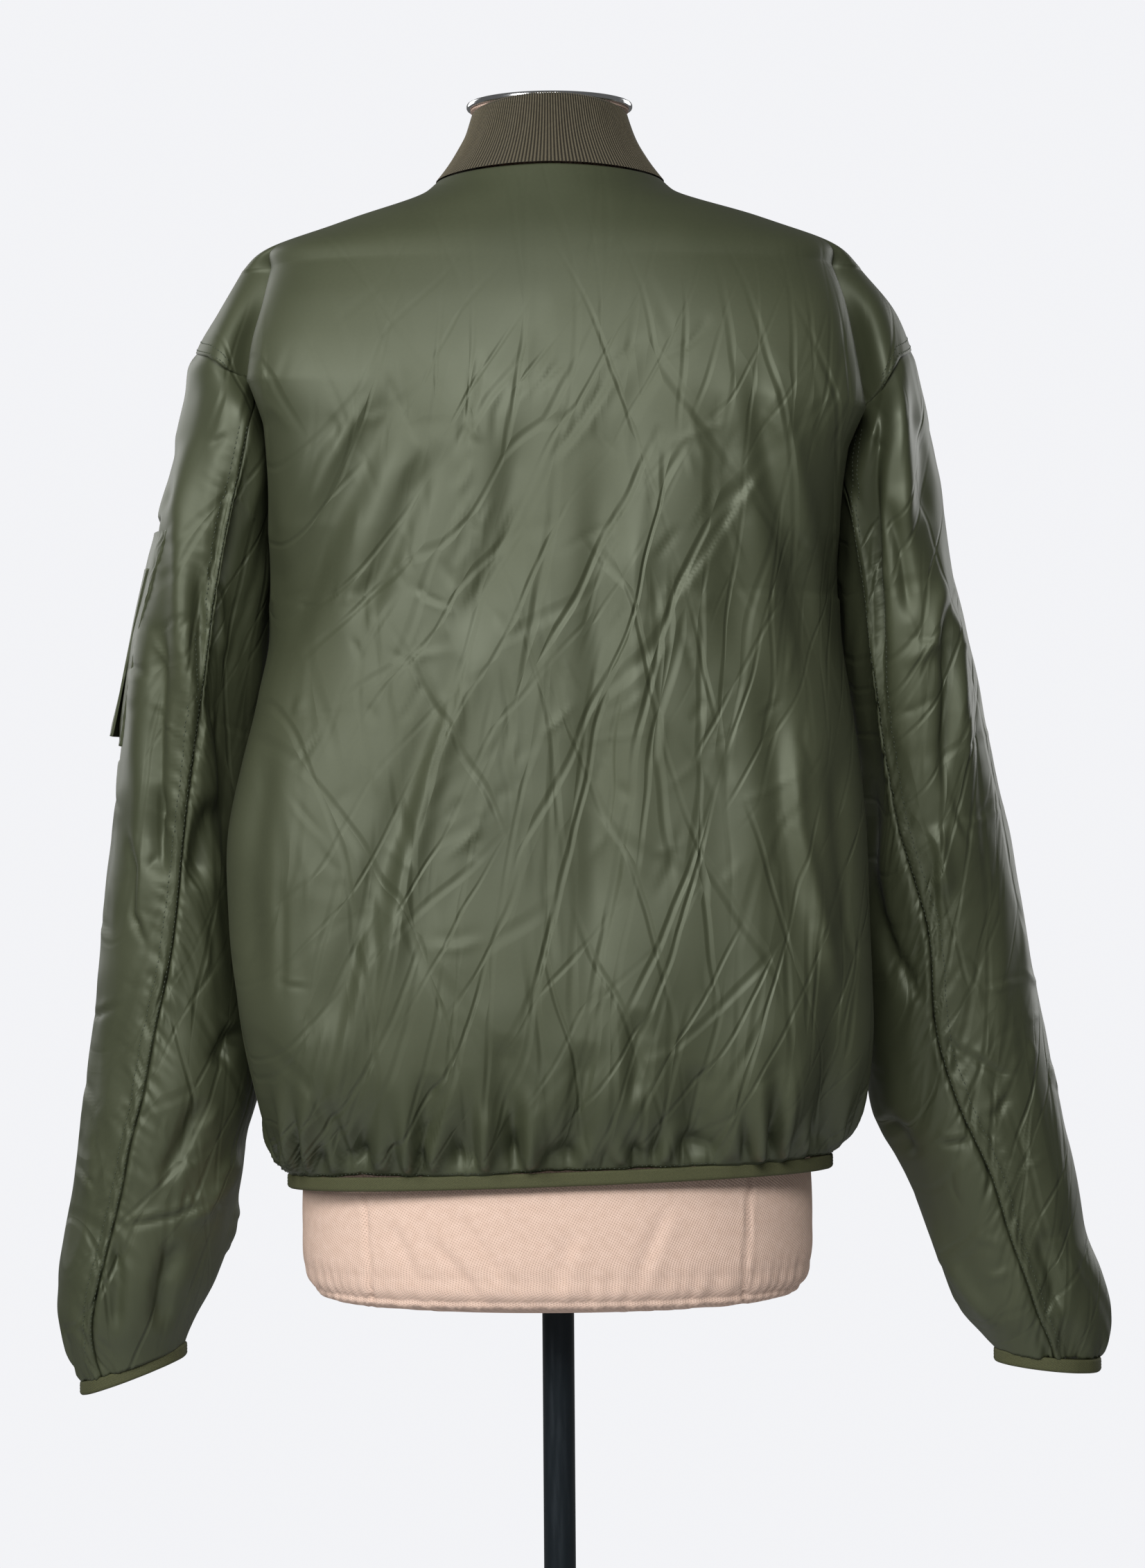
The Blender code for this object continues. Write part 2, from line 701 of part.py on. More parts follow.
def neck_back_point(turn):
    """The back neckline at a turn of 0 at the left, 180 at the right."""
    angle = math.radians(turn)
    x = -NECK_HALF_WIDTH * math.cos(angle)
    y = NECK_BACK_Y * math.sin(angle)
    return x, y, NECK_SIDE_Z + (NECK_BACK_Z - NECK_SIDE_Z) * math.sin(angle) ** 2


def half_rows(side, half, columns, facing):
    """The half rows of one side from under the neckline to the hem, and the shoulder's last row."""
    rows = [half(side, height, columns(height)) for height in UPPER_HEIGHTS]
    for share, height in shoulder_heights(side):
        row = half(side, height, columns(height))
        rows.append(row + shoulder_end(side, share, facing))
    last = len(rows) - 1
    for turn in FOLD_TURNS:
        height = armhole_height(side, turn)
        rows.append(half(side, height, columns(height)))
    for height in LOWER_HEIGHTS:
        rows.append(half(side, height, columns(height)))
    return rows, last


def make_back(surface):
    """The back, from the neckline to the hem, its rows run from left to right."""
    neck = [neck_back_point(180.0 * step / BACK_COLUMNS) for step in range(BACK_COLUMNS + 1)]
    rows = [np.array(neck)]
    left, last = half_rows(-1, back_half, lambda height: BACK_COLUMNS // 2, -1)
    right, last = half_rows(1, back_half, lambda height: BACK_COLUMNS // 2, -1)
    for first, second in zip(left, right):
        rows.append(tilted(level_middle(first[::-1] + second[1:], len(first) - 1)))
    trims = {last + 1: (SHOULDER_COLUMNS, SHOULDER_COLUMNS)}
    rows = [trim_ends(row) for row in rows]
    rows = folded(rows, BACK_FOLDS, trims)
    return panel("back", rows, surface, trims, -1, BACK_GATHERS, HEM_LIFTS)


def level_middle(row, middle):
    """A row whose two halves reach its middle at different heights, eased to one height."""
    target = 0.5 * (row[middle - 1][2] + row[middle + 1][2])
    half = BACK_COLUMNS // 2
    eased = []
    for index, (x, y, z) in enumerate(row):
        share = max(0.0, 1.0 - abs(index - middle) / half)
        eased.append((x, y, z + (target - z) * share**1.5))
    return eased


def trim_ends(row):
    """The row with half a seam gap off each end."""
    row = row.copy()
    for end, beside in ((0, 1), (-1, -2)):
        along = row[beside] - row[end]
        row[end] += along / np.linalg.norm(along) * SEAM_GAP * 0.8
    return row


def front_columns(height):
    """The columns of a front row, fewer above the bottom of the neckline."""
    if height <= NECK_FRONT_Z:
        return FRONT_COLUMNS
    share = (NECK_SIDE_Z - height) / (NECK_SIDE_Z - NECK_FRONT_Z)
    return max(2, round(FRONT_COLUMNS * (0.3 + 0.7 * share)))


def make_front(side, surface):
    """A front, from the neckline and shoulder to the hem."""
    rows, last = half_rows(side, front_half, front_columns, 1)
    rows = [np.array(front_half(side, 1.4955, 2))] + [tilted(row) for row in rows]
    rows = [trim_ends(row) for row in rows]
    trims = {last + 1: (0, SHOULDER_COLUMNS)}
    if side > 0:
        rows = [row[::-1] for row in rows]
        trims = {last + 1: (SHOULDER_COLUMNS, 0)}
    rows = folded(rows, FRONT_FOLDS, trims)
    name = "front_left" if side < 0 else "front_right"
    return panel(name, rows, surface, trims, 1, FRONT_GATHERS, HEM_LIFTS)


def cuff_height(side, turn):
    """The height of the cuff seam at a turn of the sleeve."""
    centre, height, fall = LEFT_CUFF if side < 0 else RIGHT_CUFF
    found = height
    for _ in range(6):
        x = abs(sleeve_point(side, turn, found)[0])
        found = height - fall * (x - centre)
    return found


def elbow_turn(side, height):
    """The turn of the back sleeve seam at a height."""
    return smooth_table(ELBOW_SEAM, height, 1 if side < 0 else 2)


def sleeve_fold_shift(side, turn, height):
    """How far the sleeve's folds take it inwards."""
    turn = (turn + 180.0) % 360.0 - 180.0
    shift = 0.0
    for turn0, z0, turn1, z1, width, depth in SLEEVE_FOLDS:
        x, x0, x1 = turn * 0.0011, turn0 * 0.0011, turn1 * 0.0011
        shift += fold_shift(((x0, z0, x1, z1, width, depth),), x, height)
    return shift


def armhole_shares(side, upper):
    """Where across a sleeve panel its top edge has points: its ends and the body's own points."""
    height = 1.3
    for _ in range(8):
        back_turn = elbow_turn(side, height)
        height = armhole_height(side, back_turn)
    front_turn = FRONT_SEAM_TURN if upper else FRONT_SEAM_TURN + 360.0
    turns = armhole_turns()
    turns += [-turn for turn in turns[1:-1]] + [360.0 - turn for turn in turns[1:-1]]
    shares = [(turn - back_turn) / (front_turn - back_turn) for turn in turns]
    shares = sorted(share for share in shares if 0.02 < share < 0.98)
    return [0.0] + shares + [1.0]


def make_sleeve_panel(name, side, upper, columns, gathers, surface):
    """A sleeve panel between the back and front sleeve seams, armhole to cuff."""
    rows = []
    normals = []
    even = np.linspace(0.0, 1.0, columns + 1)
    trim = math.degrees(0.8 * SEAM_GAP / SEAM_RADIUS)
    for share in SLEEVE_ROWS:
        row = []
        row_normals = []
        shares = armhole_shares(side, upper) if share == 0.0 else even
        for across in shares:
            height = 1.0
            turn = 90.0
            for _ in range(8):
                back_turn = elbow_turn(side, height)
                front_turn = FRONT_SEAM_TURN if upper else FRONT_SEAM_TURN + 360.0
                turn = back_turn + (front_turn - back_turn) * across
                in_fold = smoothstep(FOLD_TURN, 120.0, abs((turn + 180.0) % 360.0 - 180.0))
                top = armhole_height(side, turn) - SEAM_GAP * (2.4 + 2.4 * in_fold)
                bottom = cuff_height(side, turn) + SEAM_GAP
                height = top + (bottom - top) * share
            if across == 0.0:
                turn += trim if not upper else -trim
            if across == 1.0:
                turn += trim if upper else -trim
            inside = smoothstep(0.0, 0.12, across) * smoothstep(0.0, 0.12, 1.0 - across)
            inside *= smoothstep(0.0, 0.06, share) * (1.0 - smoothstep(0.92, 1.0, share))
            normal = sleeve_normal(side, turn, height)
            point = sleeve_point(side, turn, height)
            row.append(point - normal * sleeve_fold_shift(side, turn, height) * inside)
            row_normals.append(normal)
        rows.append(np.array(row))
        normals.append(np.array(row_normals))
    inner = [row - normal * WALL for row, normal in zip(rows, normals)]
    outer = list(rows)
    for back_from_end, wave in enumerate(CUFF_LIFTS):
        index = len(rows) - 1 - back_from_end
        outer[index] = waved(rows[index], normals[index], gathers, wave)
    return solid_from_rows(name, outer, inner, surface)


def make_cuff(name, side, surface):
    """The cuff's binding, a closed band under the sleeve's end."""
    outer = []
    inner = []
    for drop in (0.0, 1.0):
        row = []
        inside = []
        for step in range(36):
            turn = 360.0 * step / 36
            height = cuff_height(side, turn)
            point = sleeve_point(side, turn, height)
            normal = sleeve_normal(side, turn, height)
            normal[2] = 0.0
            normal /= np.linalg.norm(normal)
            point = point + np.array([0.0, 0.0, -SEAM_GAP - BINDING_HEIGHT * drop])
            row.append(point)
            inside.append(point - normal * BINDING_WALL)
        outer.append(np.array(row))
        inner.append(np.array(inside))
    return solid_from_rows(name, outer, inner, surface, closed=True)


def hem_loop():
    """The hem's outline from the zip round the back to the zip, with its outward normals."""
    back = BACK_COLUMNS // 2
    path = front_half(-1, HEM_Z, FRONT_COLUMNS)
    path += back_half(-1, HEM_Z, back)[::-1][1:]
    path += back_half(1, HEM_Z, back)[1:]
    path += front_half(1, HEM_Z, FRONT_COLUMNS)[::-1][1:]
    path = tilted(path)
    along = np.gradient(path, axis=0)
    normals = np.cross(along, np.array([0.0, 0.0, 1.0]))
    normals[:, 2] = 0.0
    normals /= np.linalg.norm(normals, axis=1)[:, None]
    centre = path.mean(axis=0)
    if ((path - centre) * normals).sum() < 0:
        normals = -normals
    return path, normals


def make_hem_binding(surface):
    """The hem's binding, open at the zip."""
    path, normals = hem_loop()
    outer = []
    inner = []
    for drop in (0.0, 1.0):
        down = np.array([0.0, 0.0, -FINE_GAP - BINDING_HEIGHT * drop])
        outer.append(path + down)
        inner.append(path + down - normals * BINDING_WALL)
    return solid_from_rows("hem_binding", outer, inner, surface)


def collar_loop(share, turn):
    """The collar's outside: share 0 at the seam and 1 at the top, turn 0 at the back's centre."""
    angle = math.radians(turn)
    sine = math.sin(angle)
    cosine = math.cos(angle)
    base_x = NECK_HALF_WIDTH * sine
    top_x = COLLAR_TOP_HALF_WIDTH * sine
    if cosine >= 0:
        base_y = NECK_BACK_Y * cosine
        top_y = COLLAR_TOP_BACK_Y * cosine
        base_z = NECK_SIDE_Z + (NECK_BACK_Z - NECK_SIDE_Z) * cosine**2
        top_z = COLLAR_TOP_SIDE_Z + (COLLAR_TOP_BACK_Z - COLLAR_TOP_SIDE_Z) * cosine**2
    else:
        base_y = -NECK_FRONT_Y * cosine
        top_y = -COLLAR_TOP_FRONT_Y * cosine
        base_z = NECK_SIDE_Z + (NECK_FRONT_Z - NECK_SIDE_Z) * cosine**2
        top_z = COLLAR_TOP_SIDE_Z + (COLLAR_TOP_FRONT_Z - COLLAR_TOP_SIDE_Z) * cosine**2
    base = np.array([base_x, base_y, base_z])
    top = np.array([top_x, top_y, top_z])
    hollow = -0.0035 * math.sin(math.pi * share)
    point = base + (top - base) * share
    return point + hollow * np.array([sine, -cosine, 0.0])


def make_collar(surface):
    """The rib collar, its ribs raised over a plain inside."""
    ends = 180.0 - 3.4
    outer = []
    inner = []
    for share in (0.0, 0.5, 1.0):
        row = []
        for step in range(2 * COLLAR_RIBS + 1):
            turn = -ends + 2 * ends * step / (2 * COLLAR_RIBS)
            point = collar_loop(share, turn)
            out = np.array([math.sin(math.radians(turn)), -math.cos(math.radians(turn)), 0.25])
            lift = RIB_HEIGHT if step % 2 else 0.0
            row.append(point + out * lift)
        outer.append(np.array(row))
    for share in (0.0, 0.5, 1.0):
        row = []
        for step in range(49):
            turn = -ends + 2 * ends * step / 48
            point = collar_loop(share, turn)
            out = np.array([math.sin(math.radians(turn)), -math.cos(math.radians(turn)), 0.1])
            row.append(point - out * WALL)
        inner.append(np.array(row))
    lift = np.array([0.0, 0.0, 1.5 * FINE_GAP])
    outer = [row + lift for row in outer[::-1]]
    inner = [row + lift for row in inner[::-1]]
    return solid_from_rows("collar", outer, inner, surface)


def make_pocket(surface):
    """The sleeve pocket, laid on the upper sleeve."""
    rows = []
    normals = []
    for height in np.linspace(POCKET_EDGE[0][0], POCKET_EDGE[-1][0], 9):
        edge = smooth_table(POCKET_EDGE, height, 1)
        turns = [edge - POCKET_TURN * step / 8 for step in range(9)]
        rows.append(np.array([sleeve_point(-1, turn, height) for turn in turns]))
        normals.append(np.array([sleeve_normal(-1, turn, height) for turn in turns]))
    clear = 0.0008
    outer = [row + normal * (clear + POCKET_WALL) for row, normal in zip(rows, normals)]
    inner = [row + normal * clear for row, normal in zip(rows, normals)]
    return solid_from_rows("sleeve_pocket", outer, inner, surface)


def make_pocket_flap(surface):
    """The flap over the pocket's zip, its lower corner standing off."""
    outer = []
    inner = []
    base = 0.0008 + POCKET_WALL + 0.0005
    for height in np.linspace(POCKET_FLAP_TOP_Z, POCKET_FLAP_BOTTOM_Z, 7):
        edge = smooth_table(POCKET_EDGE, height, 1) - POCKET_FLAP_START
        fall = (POCKET_FLAP_TOP_Z - height) / (POCKET_FLAP_TOP_Z - POCKET_FLAP_BOTTOM_Z)
        row = []
        inside = []
        for step in range(5):
            turn = edge - POCKET_FLAP_TURN * step / 4
            point = sleeve_point(-1, turn, height)
            normal = sleeve_normal(-1, turn, height)
            stand = 0.006 * fall**3 * (1.0 - abs(step - 1.0) / 4)
            row.append(point + normal * (base + POCKET_FLAP_WALL + stand))
            inside.append(point + normal * (base + stand))
        outer.append(np.array(row))
        inner.append(np.array(inside))
    return solid_from_rows("pocket_flap", outer, inner, surface)


def make_form(surface):
    """The dress form's torso with its neck cap, one closed body."""
    loops = []
    cap = [(NECK_CAP_TOP_Z, NECK_CAP_RADIUS), (NECK_CAP_TOP_Z - 0.0018, NECK_CAP_RADIUS)]
    for height, radius in cap:
        loops.append((height, radius, radius, radius, 2.0))
    loops.extend(FORM)
    points = []
    for height, width, back, front, roundness in loops:
        power = 2.0 / roundness
        for step in range(FORM_COLUMNS):
            angle = 2 * math.pi * step / FORM_COLUMNS
            sine = math.sin(angle)
            cosine = math.cos(angle)
            x = width * math.copysign(abs(sine) ** power, sine)
            depth = back if cosine > 0 else front
            y = -depth * math.copysign(abs(cosine) ** power, cosine)
            points.append((x, y, height))
    faces = []
    for row in range(len(loops) - 1):
        for step in range(FORM_COLUMNS):
            a = row * FORM_COLUMNS + step
            b = row * FORM_COLUMNS + (step + 1) % FORM_COLUMNS
            faces.append((a, b, b + FORM_COLUMNS, a + FORM_COLUMNS))
    faces.append(tuple(range(FORM_COLUMNS))[::-1])
    faces.append(tuple(range((len(loops) - 1) * FORM_COLUMNS, len(loops) * FORM_COLUMNS)))
    return mesh_object("dress_form", points, faces, surface)


def mesh_object(name, points, faces, surface, smooth=True):
    """A closed mesh object whose faces are turned outwards."""
    mesh = bpy.data.meshes.new(name)
    mesh.from_pydata(points, [], faces)
    mesh.materials.append(surface)
    obj = bpy.data.objects.new(name, mesh)
    bpy.context.scene.collection.objects.link(obj)
    work = bmesh.new()
    work.from_mesh(mesh)
    bmesh.ops.recalc_face_normals(work, faces=work.faces[:])
    if work.calc_volume(signed=True) < 0:
        bmesh.ops.reverse_faces(work, faces=work.faces[:])
    for face in work.faces:
        face.smooth = smooth
    work.to_mesh(mesh)
    work.free()
    return obj


def turned(name, profile, surface, columns=40):
    """A solid of revolution about Z; a profile that starts and ends off the axis is a ring."""
    ring = profile[0][0] > 0
    points = []
    faces = []
    count = len(profile)
    for radius, height in profile:
        for step in range(columns):
            angle = 2 * math.pi * step / columns
            points.append((radius * math.cos(angle), radius * math.sin(angle), height))
    if ring:
        pairs = [(i, (i + 1) % count) for i in range(count)]
    else:
        pairs = [(i, i + 1) for i in range(count - 1)]
    for low, high in pairs:
        for step in range(columns):
            after = (step + 1) % columns
            quad = (
                low * columns + step,
                low * columns + after,
                high * columns + after,
                high * columns + step,
            )
            faces.append(quad)
    mesh = mesh_object(name, points, faces, surface)
    work = bmesh.new()
    work.from_mesh(mesh.data)
    bmesh.ops.remove_doubles(work, verts=work.verts[:], dist=1e-6)
    bmesh.ops.recalc_face_normals(work, faces=work.faces[:])
    work.to_mesh(mesh.data)
    work.free()
    return mesh


def make_stand(chrome, steel):
    """The neck ring, the pole and the base."""
    top = RING_BOTTOM_Z + RING_HEIGHT
    turned(
        "neck_ring",
        (
            (RING_RADIUS - RING_WIDTH, RING_BOTTOM_Z),
            (RING_RADIUS - 0.0008, RING_BOTTOM_Z),
            (RING_RADIUS, RING_BOTTOM_Z + 0.0010),
            (RING_RADIUS, top - 0.0010),
            (RING_RADIUS - 0.0010, top),
            (RING_RADIUS - RING_WIDTH, top),
        ),
        chrome,
    )
    foot = BASE_THICKNESS + SEAM_GAP
    turned(
        "stand_pole",
        ((0.0, foot), (POLE_RADIUS, foot), (POLE_RADIUS, POLE_TOP_Z), (0.0, POLE_TOP_Z)),
        steel,
        24,
    )
    socket_top = BASE_THICKNESS + BASE_SOCKET_HEIGHT
    bore = POLE_RADIUS + SEAM_GAP
    turned(
        "stand_base",
        (
            (0.0, 0.0),
            (BASE_RADIUS - 0.002, 0.0),
            (BASE_RADIUS, 0.002),
            (BASE_RADIUS, BASE_THICKNESS - 0.003),
            (BASE_RADIUS - 0.003, BASE_THICKNESS),
            (BASE_SOCKET_RADIUS, BASE_THICKNESS),
            (BASE_SOCKET_RADIUS, socket_top - 0.002),
            (BASE_SOCKET_RADIUS - 0.002, socket_top),
            (bore, socket_top),
            (bore, BASE_THICKNESS),
            (0.0, BASE_THICKNESS),
        ),
        steel,
        40,
    )


def front_y(height):
    """The outside of the zip's line at a height."""
    return smooth_table(BODY, height, 2)


def make_zip(tape, metal):
    """The zip's tape with its chain, the slider and the pull tab on its pin."""
    half = ZIP_HALF_WIDTH - SEAM_GAP
    outer = []
    inner = []
    low = HEM_Z - BINDING_HEIGHT - 0.0005
    heights = np.linspace(NECK_FRONT_Z - 0.0015, low, 20)
    for height in heights:
        y = front_y(max(height, HEM_Z))
        drop = hem_drop(0.0, y, max(height, HEM_Z))
        level = height + drop
        chain = ZIP_CHAIN_HALF_WIDTH
        shape = (
            (-half, 0.0),
            (-chain - 0.0006, 0.0),
            (-chain, ZIP_CHAIN_RAISE),
            (chain, ZIP_CHAIN_RAISE),
            (chain + 0.0006, 0.0),
            (half, 0.0),
        )
        outer.append(np.array([(x, y + raised - 0.0012, level) for x, raised in shape][::-1]))
        inner.append(np.array([(x, y - 0.0012 - ZIP_TAPE_WALL, level) for x, _ in shape][::-1]))
    solid_from_rows("zip_tape", outer, inner, tape)

    tilt = math.atan2(front_y(SLIDER_Z - 0.03) - front_y(SLIDER_Z), 0.03)
    seat = front_y(SLIDER_Z) - 0.0012 + ZIP_CHAIN_RAISE + 0.0005
    slider_y = seat + 0.5 * SLIDER_SIZE[1]
    slider = make_slider(metal)
    place(slider, (0.0, slider_y, SLIDER_Z), tilt)
    reach = 0.5 * (SLIDER_SIZE[1] + BRIDGE_TUNNEL)
    pull = make_pull(metal)
    place(pull, (0.0, slider_y + reach * math.cos(tilt), SLIDER_Z + reach * math.sin(tilt)), tilt)


def place(obj, spot, tilt):
    """Puts an object at a spot and leans its foot forwards by the tilt."""
    obj.location = spot
    obj.rotation_euler = (tilt, 0.0, 0.0)


def box(name, size, centre, surface, edge):
    """A box with eased edges."""
    mesh = bpy.data.meshes.new(name)
    work = bmesh.new()
    bmesh.ops.create_cube(work, size=1.0)
    bmesh.ops.scale(work, vec=size, verts=work.verts[:])
    if edge > 0:
        bmesh.ops.bevel(
            work, geom=work.edges[:], offset=edge, offset_type="OFFSET", segments=2, profile=0.5,
            affect="EDGES", material=-1,
        )
    bmesh.ops.translate(work, vec=centre, verts=work.verts[:])
    work.to_mesh(mesh)
    work.free()
    mesh.materials.append(surface)
    obj = bpy.data.objects.new(name, mesh)
    bpy.context.scene.collection.objects.link(obj)
    return obj


def make_slider(surface):
    """The slider with the bridge that its pull tab hangs in."""
    body = box("zip_slider", SLIDER_SIZE, (0.0, 0.0, 0.0), surface, 0.0008)
    low = 0.5 * SLIDER_SIZE[1] - 0.0006
    top = 0.5 * SLIDER_SIZE[1] + BRIDGE_TUNNEL
    rows = []
    for x in (-0.5 * BRIDGE_WIDTH, 0.5 * BRIDGE_WIDTH):
        long = BRIDGE_HALF_LENGTH
        short = long - BRIDGE_WALL
        arch = (
            (long, low), (long, top), (long - 0.0008, top + BRIDGE_WALL),
            (-long + 0.0008, top + BRIDGE_WALL), (-long, top), (-long, low),
            (-short, low), (-short, top), (short, top), (short, low),
        )
        rows.append([(x, y, z) for z, y in arch])
    count = len(rows[0])
    faces = [tuple(range(count)), tuple(range(count, 2 * count))[::-1]]
    for step in range(count):
        after = (step + 1) % count
        faces.append((step, after, count + after, count + step))
    bridge = mesh_object("bridge_tool", rows[0] + rows[1], faces, surface, smooth=False)
    bridge.hide_render = True
    bridge.display_type = "WIRE"
    bridge.parent = body
    join = body.modifiers.new("bridge", "BOOLEAN")
    join.operation = "UNION"
    join.solver = "EXACT"
    join.object = bridge
    return body


def rounded_outline(half_width, top, bottom, radius, y):
    """A rectangle with rounded corners in the XZ plane."""
    outline = []
    corners = (
        (half_width - radius, top - radius, 0.0),
        (-half_width + radius, top - radius, 90.0),
        (-half_width + radius, bottom + radius, 180.0),
        (half_width - radius, bottom + radius, 270.0),
    )
    for x, z, start in corners:
        for step in range(4):
            angle = math.radians(start + 30.0 * step)
            outline.append((x + radius * math.cos(angle), y, z + radius * math.sin(angle)))
    return np.array(outline)


def make_pull(surface):
    """The pull tab, its slot round the bridge and its bar's middle on the origin."""
    outer = []
    inner = []
    top = 0.5 * PULL_BAR
    for y in (0.5 * PULL_WALL, -0.5 * PULL_WALL):
        outer.append(rounded_outline(0.5 * PULL_WIDTH, top, top - PULL_LENGTH, 0.0005, y))
        slot_top = -0.5 * PULL_BAR
        inner.append(
            rounded_outline(0.5 * PULL_SLOT_WIDTH, slot_top, slot_top - PULL_SLOT_LENGTH, 0.0004, y)
        )
    return solid_from_rows("zip_pull", outer, inner, surface, closed=True)


def main():
    """Builds every piece."""
    remove_all()
    shell = material("nylon", (0.060, 0.078, 0.048), 0.42)
    knit = material("rib_knit", (0.062, 0.058, 0.036), 0.85)
    binding = material("elastic_binding", (0.075, 0.075, 0.032), 0.75)
    linen = material("linen", (0.58, 0.44, 0.33), 0.85)
    chrome = material("chrome", (0.70, 0.71, 0.72), 0.18, 1.0)
    steel = material("blued_steel", (0.022, 0.028, 0.034), 0.32, 0.7)
    brass = material("zip_metal", (0.30, 0.28, 0.24), 0.35, 1.0)
    tape = material("zip_tape", (0.045, 0.050, 0.034), 0.75)
    make_back(shell)
    for side, word in ((-1, "left"), (1, "right")):
        make_front(side, shell)
        make_sleeve_panel(
            "upper_sleeve_" + word, side, True, UPPER_SLEEVE_COLUMNS, UPPER_CUFF_GATHERS, shell
        )
        make_sleeve_panel(
            "under_sleeve_" + word, side, False, UNDER_SLEEVE_COLUMNS, UNDER_CUFF_GATHERS, shell
        )
        make_cuff("cuff_binding_" + word, side, binding)
    make_collar(knit)
    make_hem_binding(binding)
    make_pocket(shell)
    make_pocket_flap(shell)
    make_zip(tape, brass)
    make_form(linen)
    make_stand(chrome, steel)


main()
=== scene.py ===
"""The looks of a padded bomber jacket that hangs on a limbless dress form.

Metres, +Z up, floor at z = 0. The jacket's back faces -Y and its front +Y, and the wearer's
left sleeve is at -X. Each cloth piece is a fine grid laid on its panel's form, into which
the folds are pressed, and then gets its seams, stitches and finish.
"""

import logging
import math
from dataclasses import dataclass, field
from enum import Enum

import bmesh
import bpy
import numpy as np
from mathutils import Matrix, Vector


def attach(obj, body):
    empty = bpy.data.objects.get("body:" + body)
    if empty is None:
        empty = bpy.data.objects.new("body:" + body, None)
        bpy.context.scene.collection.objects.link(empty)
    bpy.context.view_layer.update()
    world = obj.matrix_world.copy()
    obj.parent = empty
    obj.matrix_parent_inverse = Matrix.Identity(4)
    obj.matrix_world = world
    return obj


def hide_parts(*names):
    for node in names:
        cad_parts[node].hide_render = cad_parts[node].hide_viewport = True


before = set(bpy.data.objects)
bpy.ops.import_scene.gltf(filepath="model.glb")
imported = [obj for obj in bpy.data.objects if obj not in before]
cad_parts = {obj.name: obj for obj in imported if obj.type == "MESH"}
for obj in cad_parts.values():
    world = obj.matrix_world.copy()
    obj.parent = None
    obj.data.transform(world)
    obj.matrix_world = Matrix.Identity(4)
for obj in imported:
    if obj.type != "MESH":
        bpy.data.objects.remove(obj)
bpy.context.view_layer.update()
BODY = "jacket_on_form"
LOG = logging.getLogger("jacket")

Array = np.ndarray


class Side(Enum):
    """The wearer's sides, by the sign of X."""

    LEFT = -1
    RIGHT = 1


class Facing(Enum):
    """The ways that a panel of the body faces, by the sign of Y."""

    BACK = -1
    FRONT = 1


class CreaseKind(Enum):
    """The cross sections of a fold."""

    SOFT = "soft"
    SHARP = "sharp"
    LAPPED = "lapped"


# ---------------------------------------------------------------- curves and noise


def smoothstep(low: float, high: float, value: Array) -> Array:
    """A smooth rise from 0 below low to 1 above high.

    Args:
        low: Where the rise starts.
        high: Where it ends.
        value: What is measured against them.

    Returns:
        The share of the rise.
    """
    t = np.clip((np.asarray(value, float) - low) / (high - low), 0.0, 1.0)
    return t * t * (3 - 2 * t)


@dataclass(frozen=True)
class Table:
    """Rows of a height and the sizes at it."""

    rows: tuple[tuple[float, ...], ...]

    def at(self, height: Array, column: int) -> Array:
        """A column along a smooth curve through the rows.

        Args:
            height: Heights in metres.
            column: The column's number, with the height as 0.

        Returns:
            The column's value at each height.
        """
        rows = np.array(sorted(self.rows))
        heights = rows[:, 0]
        values = rows[:, column]
        slopes = np.gradient(values, heights)
        wanted = np.clip(np.asarray(height, float), heights[0], heights[-1])
        index = np.clip(np.searchsorted(heights, wanted, side="right") - 1, 0, len(heights) - 2)
        step = heights[index + 1] - heights[index]
        t = (wanted - heights[index]) / step
        return (
            (2 * t**3 - 3 * t**2 + 1) * values[index]
            + (t**3 - 2 * t**2 + t) * step * slopes[index]
            + (3 * t**2 - 2 * t**3) * values[index + 1]
            + (t**3 - t**2) * step * slopes[index + 1]
        )


def ripple(u: Array, v: Array, seed: int) -> Array:
    """Gradient noise of about -1 to 1 with cells of size 1.

    Args:
        u: First coordinate.
        v: Second coordinate.
        seed: Picks the pattern.

    Returns:
        The noise at each place.
    """
    random = np.random.default_rng(seed)
    angles = random.uniform(0, 2 * math.pi, (64, 64))
    iu = np.floor(u).astype(int)
    iv = np.floor(v).astype(int)
    fu = u - iu
    fv = v - iv
    total = np.zeros_like(fu)
    for du in (0, 1):
        for dv in (0, 1):
            angle = angles[(iu + du) % 64, (iv + dv) % 64]
            weight = (1 - smoothstep(0, 1, np.abs(fu - du))) * (1 - smoothstep(0, 1, np.abs(fv - dv)))
            total += weight * (np.cos(angle) * (fu - du) + np.sin(angle) * (fv - dv))
    return total * 1.5


# ---------------------------------------------------------------- the garment's form


